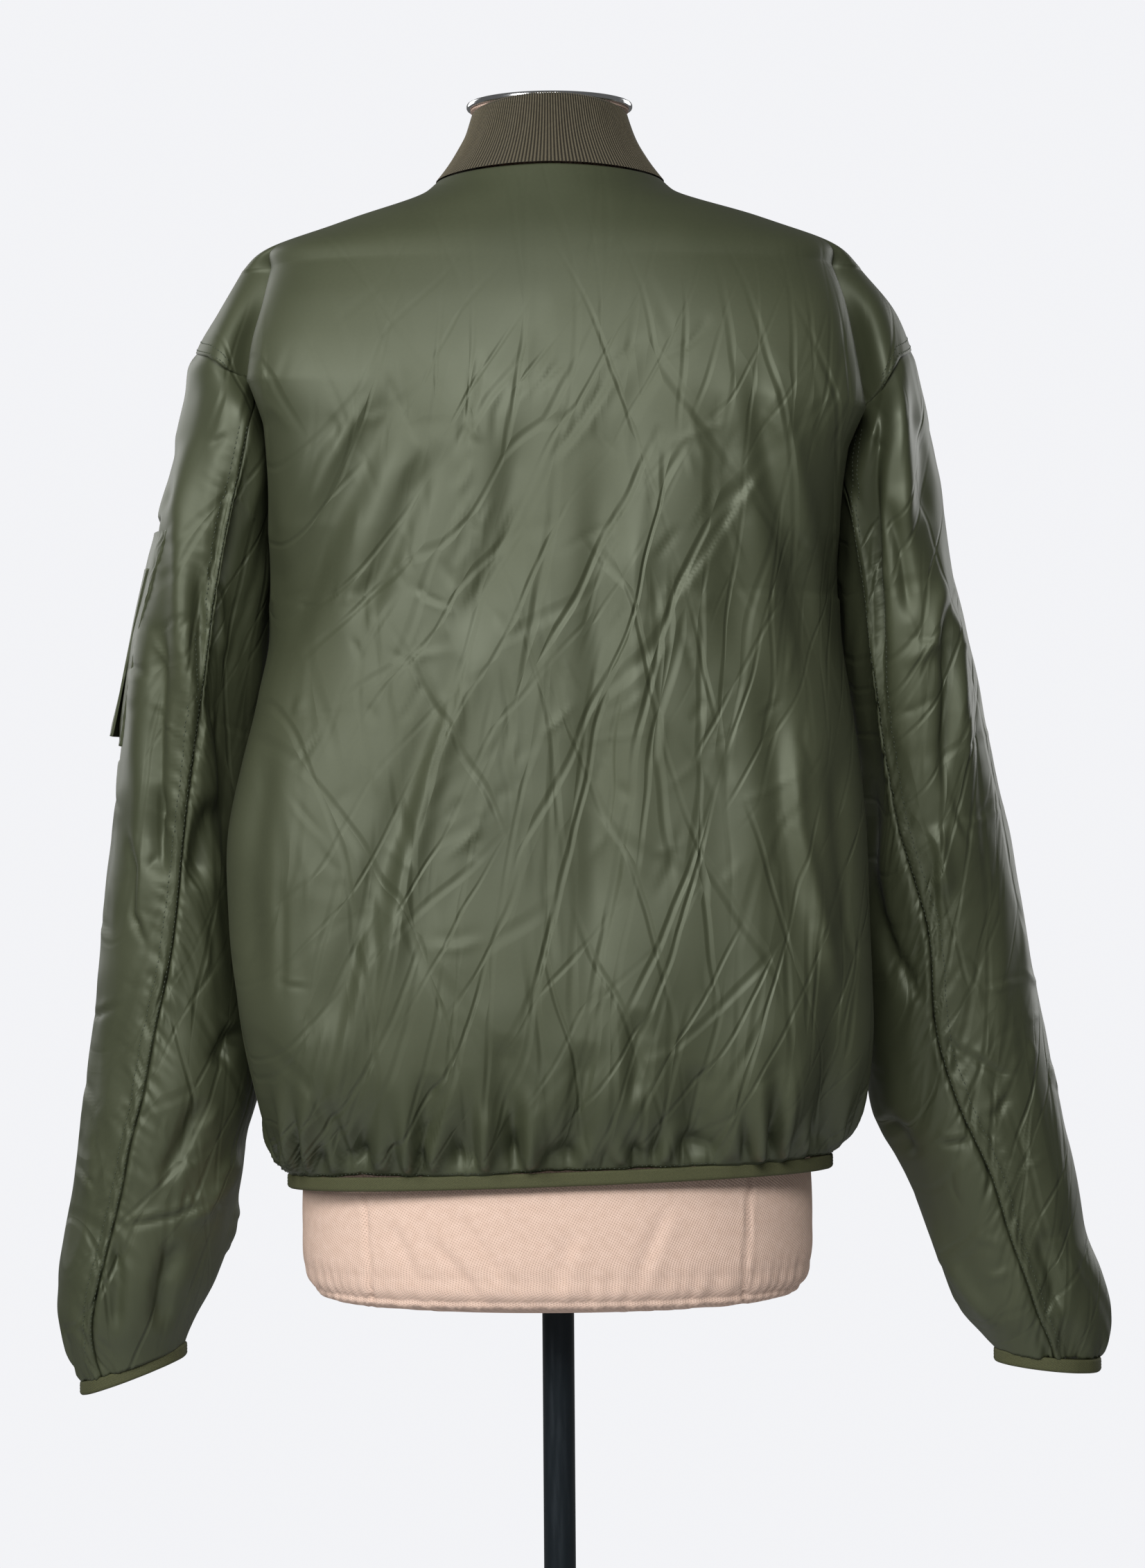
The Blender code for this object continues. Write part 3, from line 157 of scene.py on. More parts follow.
@dataclass(frozen=True)
class SleeveForm:
    """The outside of a sleeve, as rings of height, outer x, inner x, back y and front y."""

    side: Side
    rings: Table
    elbow_seam: Table
    cuff_x: float
    cuff_z: float
    cuff_fall: float
    armhole: Table
    front_seam_turn: float = -128.0

    def point(self, turn: Array, height: Array) -> Array:
        """The outside at a turn in degrees from the outer side towards the back."""
        outer = self.rings.at(height, 1)
        inner = self.rings.at(height, 2)
        back = self.rings.at(height, 3)
        front = self.rings.at(height, 4)
        angle = np.radians(turn)
        x = 0.5 * (outer + inner) + 0.5 * (outer - inner) * np.cos(angle)
        y = 0.5 * (back + front) - 0.5 * (front - back) * np.sin(angle)
        return np.stack(np.broadcast_arrays(self.side.value * x, y, height), axis=-1)

    def normal(self, turn: Array, height: Array) -> Array:
        """The outward direction at a turn and a height."""
        around = self.point(turn + 2.0, height) - self.point(turn - 2.0, height)
        along = self.point(turn, height + 0.004) - self.point(turn, height - 0.004)
        normal = np.cross(around, along) * -self.side.value
        return normal / np.linalg.norm(normal, axis=-1, keepdims=True)

    def armhole_height(self, turn: Array) -> Array:
        """The height of the armhole seam at a turn."""
        turn = np.abs((np.asarray(turn, float) + 180.0) % 360.0 - 180.0)
        rows = np.array(self.armhole.rows)
        return np.interp(turn, rows[:, 0], rows[:, 1])

    def armhole_turn(self, height: Array) -> Array:
        """The turn at which the armhole seam reaches a height."""
        rows = np.array(self.armhole.rows)[::-1]
        return np.interp(height, rows[:, 1], rows[:, 0])

    def cuff_height(self, turn: Array) -> Array:
        """The height of the cuff seam at a turn."""
        found = np.full(np.shape(turn), self.cuff_z)
        for _ in range(6):
            x = np.abs(self.point(turn, found)[..., 0])
            found = self.cuff_z - self.cuff_fall * (x - self.cuff_x)
        return found

    def place(self, upper: bool, across: Array, down: Array, lift: float) -> tuple[Array, Array]:
        """The turn and height of a place on one of the sleeve's two panels.

        Args:
            upper: True for the outer panel, False for the one under the arm.
            across: Share of the way from the back seam to the front seam.
            down: Share of the way from the armhole to the cuff.
            lift: How far past the armhole seam the panel starts, in metres.

        Returns:
            Turns in degrees and heights in metres.
        """
        height = np.full(np.shape(across), 1.0)
        turn = np.full(np.shape(across), 90.0)
        end = self.front_seam_turn if upper else self.front_seam_turn + 360.0
        for _ in range(10):
            start = self.elbow_seam.at(height, 1)
            turn = start + (end - start) * across
            top = self.armhole_height(turn) + lift
            bottom = self.cuff_height(turn)
            height = top + (bottom - top) * down
        return turn, height


LEFT_SLEEVE = SleeveForm(
    Side.LEFT,
    Table((
        (1.4370, 0.2105, 0.1700, -0.022, 0.030),
        (1.4100, 0.2265, 0.1660, -0.042, 0.058),
        (1.3860, 0.2410, 0.1650, -0.052, 0.080),
        (1.3500, 0.2480, 0.1680, -0.056, 0.095),
        (1.3000, 0.2615, 0.1760, -0.056, 0.108),
        (1.2500, 0.2720, 0.1870, -0.054, 0.113),
        (1.2150, 0.2795, 0.1925, -0.052, 0.114),
        (1.1700, 0.2885, 0.1965, -0.048, 0.114),
        (1.1200, 0.2955, 0.2030, -0.042, 0.114),
        (1.0600, 0.3020, 0.2090, -0.036, 0.114),
        (1.0000, 0.3100, 0.2090, -0.032, 0.114),
        (0.9400, 0.3160, 0.2070, -0.028, 0.112),
        (0.8800, 0.3245, 0.2050, -0.026, 0.106),
        (0.8500, 0.3290, 0.2135, -0.024, 0.102),
        (0.8200, 0.3325, 0.2185, -0.022, 0.098),
        (0.7800, 0.3405, 0.2270, -0.018, 0.093),
        (0.7500, 0.3450, 0.2370, -0.014, 0.088),
        (0.7250, 0.3445, 0.2490, -0.007, 0.081),
        (0.7050, 0.3390, 0.2575, 0.002, 0.073),
        (0.6800, 0.3270, 0.2640, 0.008, 0.066),
    )),
    Table((
        (1.3600, 106.0), (1.1600, 104.0), (1.0600, 100.0), (0.9900, 95.0),
        (0.9100, 80.0), (0.8450, 74.0), (0.7800, 70.0), (0.7000, 65.0),
    )),
    0.2925, 0.6950, 0.36,
    Table((
        (0.0, 1.3860), (50.0, 1.3780), (95.0, 1.3620), (120.0, 1.3300), (150.0, 1.2600),
        (180.0, 1.2150),
    )),
)

RIGHT_SLEEVE = SleeveForm(
    Side.RIGHT,
    Table((
        (1.4370, 0.2110, 0.1720, -0.022, 0.030),
        (1.4100, 0.2330, 0.1680, -0.042, 0.058),
        (1.3860, 0.2440, 0.1670, -0.052, 0.080),
        (1.3500, 0.2535, 0.1700, -0.056, 0.095),
        (1.3000, 0.2640, 0.1780, -0.056, 0.108),
        (1.2500, 0.2715, 0.1880, -0.054, 0.113),
        (1.2150, 0.2785, 0.1935, -0.052, 0.114),
        (1.1700, 0.2890, 0.1965, -0.048, 0.114),
        (1.1200, 0.2990, 0.2015, -0.042, 0.114),
        (1.0600, 0.3105, 0.2060, -0.036, 0.114),
        (1.0000, 0.3210, 0.2080, -0.030, 0.114),
        (0.9400, 0.3320, 0.2085, -0.026, 0.114),
        (0.9000, 0.3395, 0.2135, -0.024, 0.110),
        (0.8600, 0.3475, 0.2200, -0.022, 0.106),
        (0.8200, 0.3555, 0.2400, -0.020, 0.100),
        (0.7800, 0.3625, 0.2560, -0.016, 0.094),
        (0.7500, 0.3735, 0.2665, -0.012, 0.088),
        (0.7250, 0.3785, 0.2780, -0.006, 0.082),
        (0.7080, 0.3780, 0.2930, 0.002, 0.074),
        (0.6900, 0.3700, 0.3100, 0.008, 0.066),
    )),
    Table((
        (1.3600, 128.0), (1.1600, 130.0), (1.0600, 122.0), (0.9900, 106.0),
        (0.9100, 106.0), (0.8450, 96.0), (0.7800, 94.0), (0.7000, 93.0),
    )),
    0.3400, 0.6965, 0.10,
    Table((
        (0.0, 1.3860), (50.0, 1.3740), (95.0, 1.3400), (120.0, 1.3120), (150.0, 1.2550),
        (180.0, 1.2150),
    )),
)

SLEEVES = {Side.LEFT: LEFT_SLEEVE, Side.RIGHT: RIGHT_SLEEVE}


@dataclass(frozen=True)
class BodyForm:
    """The outside of the jacket's body: shoulder ridge, sections and side seams."""

    neck_side_z: float = 1.497
    neck_back_z: float = 1.501
    neck_front_z: float = 1.441
    neck_half_width: float = 0.0765
    neck_front_y: float = 0.085
    dimple_z: float = 1.437
    underarm_z: float = 1.215
    hem_z: float = 0.8345
    hem_slope_x: float = 0.030
    hem_slope_y: float = -0.030
    zip_half_width: float = 0.007
    fold_turn: float = 97.0
    ridge: Table = Table((
        (1.4970, 0.0765, 0.0765),
        (1.4880, 0.0880, 0.0880),
        (1.4710, 0.1386, 0.1440),
        (1.4580, 0.1744, 0.1790),
        (1.4470, 0.1994, 0.2000),
        (1.4370, 0.2105, 0.2110),
    ))
    sections: Table = Table((
        (1.5010, 0.068, 0.060, 2.10, 2.00),
        (1.4800, 0.080, 0.070, 2.15, 2.05),
        (1.4550, 0.094, 0.082, 2.25, 2.15),
        (1.4250, 0.106, 0.094, 2.50, 2.30),
        (1.3860, 0.117, 0.106, 2.80, 2.50),
        (1.3300, 0.125, 0.117, 3.00, 2.60),
        (1.2500, 0.130, 0.125, 3.00, 2.50),
        (1.1500, 0.134, 0.131, 2.90, 2.45),
        (1.0500, 0.140, 0.137, 2.80, 2.40),
        (0.9700, 0.146, 0.142, 2.75, 2.40),
        (0.9150, 0.147, 0.143, 2.70, 2.45),
        (0.8800, 0.144, 0.141, 2.60, 2.45),
        (0.8550, 0.136, 0.133, 2.45, 2.40),
        (0.8345, 0.123, 0.121, 2.30, 2.35),
    ))
    side_seam: Table = Table((
        (1.2150, 0.1925, 0.1940, 0.030),
        (1.1900, 0.1930, 0.1945, 0.020),
        (1.1500, 0.1990, 0.1990, -0.005),
        (1.1050, 0.2090, 0.2040, -0.030),
        (1.0600, 0.2175, 0.2080, -0.040),
        (1.0000, 0.2170, 0.2100, -0.040),
        (0.9600, 0.2140, 0.2110, -0.040),
        (0.9150, 0.2080, 0.2110, -0.036),
        (0.8850, 0.2015, 0.2070, -0.030),
        (0.8600, 0.1955, 0.2010, -0.024),
        (0.8450, 0.1895, 0.1945, -0.020),
        (0.8345, 0.1800, 0.1845, -0.018),
    ))

    def edge(self, side: Side, height: float, facing: Facing) -> tuple[float, float]:
        """The panel's edge at a height: shoulder ridge, fold, armhole or side seam, as x and y."""
        column = 1 if side is Side.LEFT else 2
        if height > self.dimple_z + 1e-6:
            return side.value * float(self.ridge.at(height, column)), 0.0
        if height >= self.underarm_z - 1e-6:
            sleeve = SLEEVES[side]
            turn = min(max(float(sleeve.armhole_turn(height)), self.fold_turn), 180.0)
            point = sleeve.point(-facing.value * turn, height)
            return float(point[0]), float(point[1])
        x = float(self.side_seam.at(height, column))
        return side.value * x, float(self.side_seam.at(height, 3))

    def start(self, side: Side, height: Array, facing: Facing) -> tuple[Array, Array]:
        """Where a half row starts: the back's centre, or the front's neckline or zip."""
        if facing is Facing.BACK:
            return np.zeros_like(height), -self.sections.at(height, 1)
        rise = (self.neck_side_z - height) / (self.neck_side_z - self.neck_front_z)
        sine = np.sqrt(np.clip(rise, 0.0, 1.0))
        x = np.maximum(self.neck_half_width * np.sqrt(1 - sine**2), self.zip_half_width)
        depth = np.where(
            height > self.neck_front_z, self.neck_front_y * sine, self.sections.at(height, 2)
        )
        return side.value * x, depth

    def half_path(
        self,
        side: Side,
        edge_z: float,
        middle_z: float,
        facing: Facing,
        end: tuple[float, float] | None = None,
    ) -> Array:
        """A half row from its start to its edge, in fine steps.

        Args:
            side: Which half.
            edge_z: Height at the edge.
            middle_z: Height at the start.
            facing: Which panel.
            end: The edge's x and y, where it isn't the panel's own edge at that height.

        Returns:
            Points along the row.
        """
        turn = np.linspace(0.0, 0.5 * math.pi, 260)
        rough = 2.0 / self.sections.at(edge_z, 3 if facing is Facing.BACK else 4)
        share = np.sin(turn) ** rough
        height = middle_z + (edge_z - middle_z) * share**1.5
        power = 2.0 / self.sections.at(height, 3 if facing is Facing.BACK else 4)
        start_x, start_y = self.start(side, height, facing)
        edge_x, edge_y = end or self.edge(side, edge_z, facing)
        across = np.sin(turn) ** power
        along = np.maximum(np.cos(turn), 0.0) ** power
        x = start_x + (edge_x - start_x) * across
        y = edge_y + (start_y - edge_y) * along
        return np.stack([x, y, height], axis=1)

    def shoulder_path(self, side: Side, share: float, facing: Facing) -> Array:
        """The row past the fold, round the dropped shoulder to its outer side."""
        sleeve = SLEEVES[side]
        turn = np.linspace(self.fold_turn, 0.0, 60)
        height = self.dimple_z + (sleeve.armhole_height(turn) - self.dimple_z) * share
        return sleeve.point(-facing.value * turn, height)

    def tilt_hem(self, points: Array) -> Array:
        """The points with the tilt of the hem, which fades out 0.12 m above it."""
        share = 1.0 - smoothstep(self.hem_z, self.hem_z + 0.12, points[..., 2])
        moved = points.copy()
        moved[..., 2] += share * (self.hem_slope_x * points[..., 0] + self.hem_slope_y * points[..., 1])
        return moved


JACKET = BodyForm()


def resample(path: Array, shares: Array) -> Array:
    """The points at shares of a path's length.

    Args:
        path: Points of the path.
        shares: Wanted shares, 0 to 1.

    Returns:
        A point for each share.
    """
    steps = np.linalg.norm(np.diff(path, axis=0), axis=1)
    lengths = np.concatenate([[0.0], np.cumsum(steps)])
    lengths /= lengths[-1]
    return np.stack([np.interp(shares, lengths, path[:, axis]) for axis in range(3)], axis=1)


# ---------------------------------------------------------------- folds


@dataclass(frozen=True)
class Crease:
    """A fold along a path of x and z. A depth below 0 is a ridge."""

    path: tuple[tuple[float, float], ...]
    width: float
    depth: float
    kind: CreaseKind = CreaseKind.SOFT
    fade: float = 0.3

    def shift(self, x: Array, z: Array) -> Array:
        """How far the fold takes the cloth inwards.

        Args:
            x: Places across.
            z: Places up.

        Returns:
            The shift at each place, in metres.
        """
        shift = np.zeros(len(x))
        points = np.array(self.path)
        reach = self.width * (3.0 if self.kind is CreaseKind.SOFT else 4.0)
        low = points.min(axis=0) - reach
        high = points.max(axis=0) + reach
        near = (x > low[0]) & (x < high[0]) & (z > low[1]) & (z < high[1])
        if not near.any():
            return shift
        px = x[near]
        pz = z[near]
        lengths = np.linalg.norm(np.diff(points, axis=0), axis=1)
        total = lengths.sum()
        best = np.full(len(px), 1e9)
        place = np.zeros(len(px))
        away = np.zeros(len(px))
        done = 0.0
        for start, end, length in zip(points[:-1], points[1:], lengths):
            run = (end - start) / length
            along = (px - start[0]) * run[0] + (pz - start[1]) * run[1]
            held = np.clip(along, 0.0, length)
            dx = px - start[0] - held * run[0]
            dz = pz - start[1] - held * run[1]
            distance = np.hypot(dx, dz)
            closer = distance < best
            best[closer] = distance[closer]
            place[closer] = (done + held[closer]) / total
            side = (px - start[0]) * run[1] - (pz - start[1]) * run[0]
            away[closer] = np.sign(side[closer]) * distance[closer]
            done += length
        ends = smoothstep(0.0, self.fade, place + 0.02) * (1 - smoothstep(1 - self.fade, 1.0, place - 0.02))
        if self.kind is CreaseKind.SOFT:
            profile = np.exp(-((best / self.width) ** 2))
        elif self.kind is CreaseKind.SHARP:
            profile = np.exp(-1.4 * best / self.width)
        else:
            profile = 1.6 * (away / self.width) * np.exp(-((away / self.width) ** 2))
            profile *= np.where(away > 0, 1.0, 0.45)
        shift[near] = self.depth * ends * profile
        return shift


@dataclass(frozen=True)
class Gathers:
    """Small pleats drawn together by a binding, at uneven spacing."""

    count: int
    length: float
    depth: float
    rise: float
    seed: int

    def shift(self, along: Array, up: Array) -> Array:
        """How far the pleats take the cloth inwards.

        Args:
            along: Distance along the binding.
            up: Distance above the binding.

        Returns:
            The shift at each place, in metres.
        """
        random = np.random.default_rng(self.seed)
        pitch = self.length / self.count
        middles = (np.arange(self.count) + 0.5 + random.uniform(-0.34, 0.34, self.count)) * pitch
        depths = self.depth * random.uniform(0.45, 1.25, self.count)
        rises = self.rise * random.uniform(0.35, 1.6, self.count)
        leans = random.normal(0.0, 0.10, self.count)
        widths = pitch * random.uniform(0.14, 0.28, self.count)
        shift = np.zeros(len(along))
        near = up < self.rise * 1.7
        s = along[near]
        u = np.maximum(up[near], 0.0)
        total = np.zeros(len(s))
        for middle, depth, rise, lean, width in zip(middles, depths, rises, leans, widths):
            wide = width * (1.0 + 2.2 * u / rise)
            fall = np.clip(1.0 - u / rise, 0.0, 1.0) ** 1.4
            start = 0.05 + 0.95 * smoothstep(0.0005, 0.011, u)
            total += depth * fall * start * np.exp(-(((s - middle - lean * u) / wide) ** 2))
            total -= 0.55 * depth * fall * start * np.exp(
                -(((s - middle - 0.5 * pitch - lean * u) / (wide * 1.25)) ** 2)
            )
        shift[near] = total
        return shift


def scattered(
    count: int,
    box: tuple[float, float, float, float],
    lengths: tuple[float, float],
    width: float,
    depth: float,
    leans: tuple[float, ...],
    seed: int,
) -> list[Crease]:
    """Small creases left by packing, strewn unevenly over a box.

    Args:
        count: How many.
        box: Low x, low z, high x, high z.
        lengths: Shortest and longest.
        width: Usual width.
        depth: Usual depth.
        leans: Usual directions, in degrees from +X.
        seed: Picks the pattern.

    Returns:
        The creases.
    """
    random = np.random.default_rng(seed)
    made = []
    for _ in range(count):
        x = random.uniform(box[0], box[2])
        z = random.uniform(box[1], box[3])
        lean = math.radians(random.choice(leans) + random.normal(0, 13))
        half = 0.5 * random.uniform(*lengths)
        bend = random.normal(0, 0.12) * half
        dx, dz = half * math.cos(lean), half * math.sin(lean)
        middle = (x - bend * math.sin(lean), z + bend * math.cos(lean))
        kind = CreaseKind.SHARP if random.random() < 0.5 else CreaseKind.LAPPED
        made.append(
            Crease(
                ((x - dx, z - dz), middle, (x + dx, z + dz)),
                width * random.uniform(0.6, 1.6),
                depth * random.uniform(0.35, 1.3) * random.choice([-1.0, 1.0]),
                kind,
                0.45,
            )
        )
    return made


# ---------------------------------------------------------------- cloth pieces


class Cloth:
    """One cloth piece while it is laid, pressed and finished."""

    def __init__(self, name: str) -> None:
        """Starts an empty piece.

        Args:
            name: The piece's name.
        """
        self.name = name
        self.work = bmesh.new()
        self.across = self.work.verts.layers.float.new("across")
        self.down = self.work.verts.layers.float.new("down")
        self.groove = self.work.verts.layers.float.new("groove")

    def lay(self, points: Array, across: Array, down: Array, groove: Array | None = None) -> None:
        """Adds a grid whose points lie on the panel.

        Args:
            points: Rows by columns by 3.
            across: Distance across the panel at each point, in metres.
            down: Distance down the panel at each point, in metres.
            groove: Share of shadow at each point, for a ribbed piece.
        """
        rows, columns = points.shape[:2]
        made = bmesh.ops.create_grid(
            self.work, x_segments=columns - 1, y_segments=rows - 1, size=0.5, calc_uvs=False
        )
        flat = points.reshape(-1, 3)
        places = np.stack([across.ravel(), down.ravel()], axis=1)
        shade = np.zeros(len(flat)) if groove is None else groove.ravel()
        for vert in made["verts"]:
            column = round((vert.co.x + 0.5) * (columns - 1))
            row = round((vert.co.y + 0.5) * (rows - 1))
            index = row * columns + column
            vert.co = flat[index]
            vert[self.across] = places[index, 0]
            vert[self.down] = places[index, 1]
            vert[self.groove] = shade[index]

    def join(self, outwards: Vector) -> None:
        """Merges the grids along their shared edges and turns the faces outwards.

        Args:
            outwards: A direction that the piece faces on the whole, or a zero vector for a tube.
        """
        bmesh.ops.remove_doubles(self.work, verts=self.work.verts[:], dist=2e-5)
        bmesh.ops.recalc_face_normals(self.work, faces=self.work.faces[:])
        total = Vector()
        for face in self.work.faces:
            total += face.normal * face.calc_area()
        middle = sum((v.co for v in self.work.verts), Vector()) / len(self.work.verts)
        facing = total.dot(outwards)
        if outwards.length < 1e-9:
            facing = sum(f.normal.dot(f.calc_center_median() - middle) for f in self.work.faces)
        if facing < 0:
            bmesh.ops.reverse_faces(self.work, faces=self.work.faces[:])
        self.work.normal_update()

    def places(self) -> tuple[Array, Array, Array, Array]:
        """Points, outward normals and distances across and down, for every vertex."""
        verts = self.work.verts
        points = np.array([v.co[:] for v in verts])
        normals = np.array([v.normal[:] for v in verts])
        across = np.array([v[self.across] for v in verts])
        down = np.array([v[self.down] for v in verts])
        return points, normals, across, down

    def shades(self) -> Array:
        """The groove layer's value at every vertex, which says how a panel marks its columns."""
        return np.array([v[self.groove] for v in self.work.verts])

    def move(self, points: Array) -> None:
        """Moves the vertices to new points."""
        for vert, point in zip(self.work.verts, points):
            vert.co = point
        self.work.normal_update()

    def turn_in(self, depth: float, skip_above: float = 99.0) -> None:
        """Gives the open edges the cloth's thickness.

        Args:
            depth: The thickness.
            skip_above: Edges above this height are left as they are.
        """
        edges = [
            edge for edge in self.work.edges
            if edge.is_boundary and edge.verts[0].co.z < skip_above
        ]
        normals = {vert: vert.normal.copy() for edge in edges for vert in edge.verts}
        made = bmesh.ops.extrude_edge_only(self.work, edges=edges)
        new = {item for item in made["geom"] if isinstance(item, bmesh.types.BMVert)}
        for vert in new:
            for edge in vert.link_edges:
                other = edge.other_vert(vert)
                if other in normals and other not in new:
                    vert.co = other.co - normals[other] * depth
        self.work.normal_update()

    def finish(self, material: bpy.types.Material) -> bpy.types.Object:
        """Makes the object, with distances across and down as its UV map.

        Args:
            material: The piece's material.

        Returns:
            The object.
        """
        for face in self.work.faces:
            face.smooth = True
        mesh = bpy.data.meshes.new(self.name)
        self.work.to_mesh(mesh)
        self.work.free()
        across = np.zeros(len(mesh.vertices), np.float32)
        down = np.zeros(len(mesh.vertices), np.float32)
        mesh.attributes["across"].data.foreach_get("value", across)
        mesh.attributes["down"].data.foreach_get("value", down)
        corners = np.zeros(len(mesh.loops), np.int32)
        mesh.loops.foreach_get("vertex_index", corners)
        uv = np.stack([across[corners], down[corners]], axis=1)
        mesh.uv_layers.new(name="cloth")
        mesh.uv_layers["cloth"].data.foreach_set("uv", uv.ravel())
        mesh.materials.append(material)
        obj = bpy.data.objects.new(self.name, mesh)
        bpy.context.scene.collection.objects.link(obj)
        return obj


def place_on(obj: bpy.types.Object, slot: str, *nodes: str, body: str = BODY) -> bpy.types.Object:
    """Lets a piece ride on a body, in the place of CAD nodes.

    Args:
        obj: The piece.
        slot: A material slot's name; not used.
        nodes: The nodes that it stands for.
        body: The body that it moves with.

    Returns:
        The piece.
    """
    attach(obj, body)
    if nodes:
        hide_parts(*nodes)
    LOG.info("%s: %d faces", obj.name, len(obj.data.polygons))
    return obj


# ---------------------------------------------------------------- finishes


class NodeTree:
    """A shorter way to add nodes to a material or a group."""

    def __init__(self, tree: bpy.types.NodeTree) -> None:
        """Wraps a tree.

        Args:
            tree: The node tree.
        """
        self.tree = tree
        self.count = 0

    def add(self, kind: str, **settings: object) -> bpy.types.Node:
        """A new node with its settings.

        Args:
            kind: The node's type.
            settings: Its attributes.

        Returns:
            The node.
        """
        node = self.tree.nodes.new(kind)
        node.location = (180.0 * (self.count % 8), -220.0 * (self.count // 8))
        self.count += 1
        for name, value in settings.items():
            setattr(node, name, value)
        return node

    def put(self, value: object, socket: bpy.types.NodeSocket) -> None:
        """Links a socket, or sets a value, on an input.

        Args:
            value: An output socket or a plain value.
            socket: The input.
        """
        if isinstance(value, bpy.types.NodeSocket):
            self.tree.links.new(value, socket)
        else:
            socket.default_value = value

    def math(self, operation: str, first: object, second: object = 0.0) -> bpy.types.NodeSocket:
        """The result of a Math node."""
        node = self.add("ShaderNodeMath", operation=operation)
        self.put(first, node.inputs[0])
        self.put(second, node.inputs[1])
        return node.outputs[0]

    def ramp(
        self, value: object, low: float, high: float, to_low: float, to_high: float
    ) -> bpy.types.NodeSocket:
        """A value moved smoothly from one range to another."""
        node = self.add("ShaderNodeMapRange", interpolation_type="SMOOTHSTEP")
        for place, item in enumerate((value, low, high, to_low, to_high)):
            self.put(item, node.inputs[place])
        return node.outputs[0]

    def mix(self, share: object, first: object, second: object) -> bpy.types.NodeSocket:
        """A mix of two colours."""
        node = self.add("ShaderNodeMix", data_type="RGBA")
        self.put(share, node.inputs[0])
        self.put(first, node.inputs[6])
        self.put(second, node.inputs[7])
        return node.outputs[2]

    def noise(self, vector: object, scale: float, detail: float = 2.0) -> bpy.types.NodeSocket:
        """The value of a Noise texture."""
        node = self.add("ShaderNodeTexNoise")
        self.put(vector, node.inputs["Vector"])
        node.inputs["Scale"].default_value = scale
        node.inputs["Detail"].default_value = detail
        return node.outputs["Fac"]


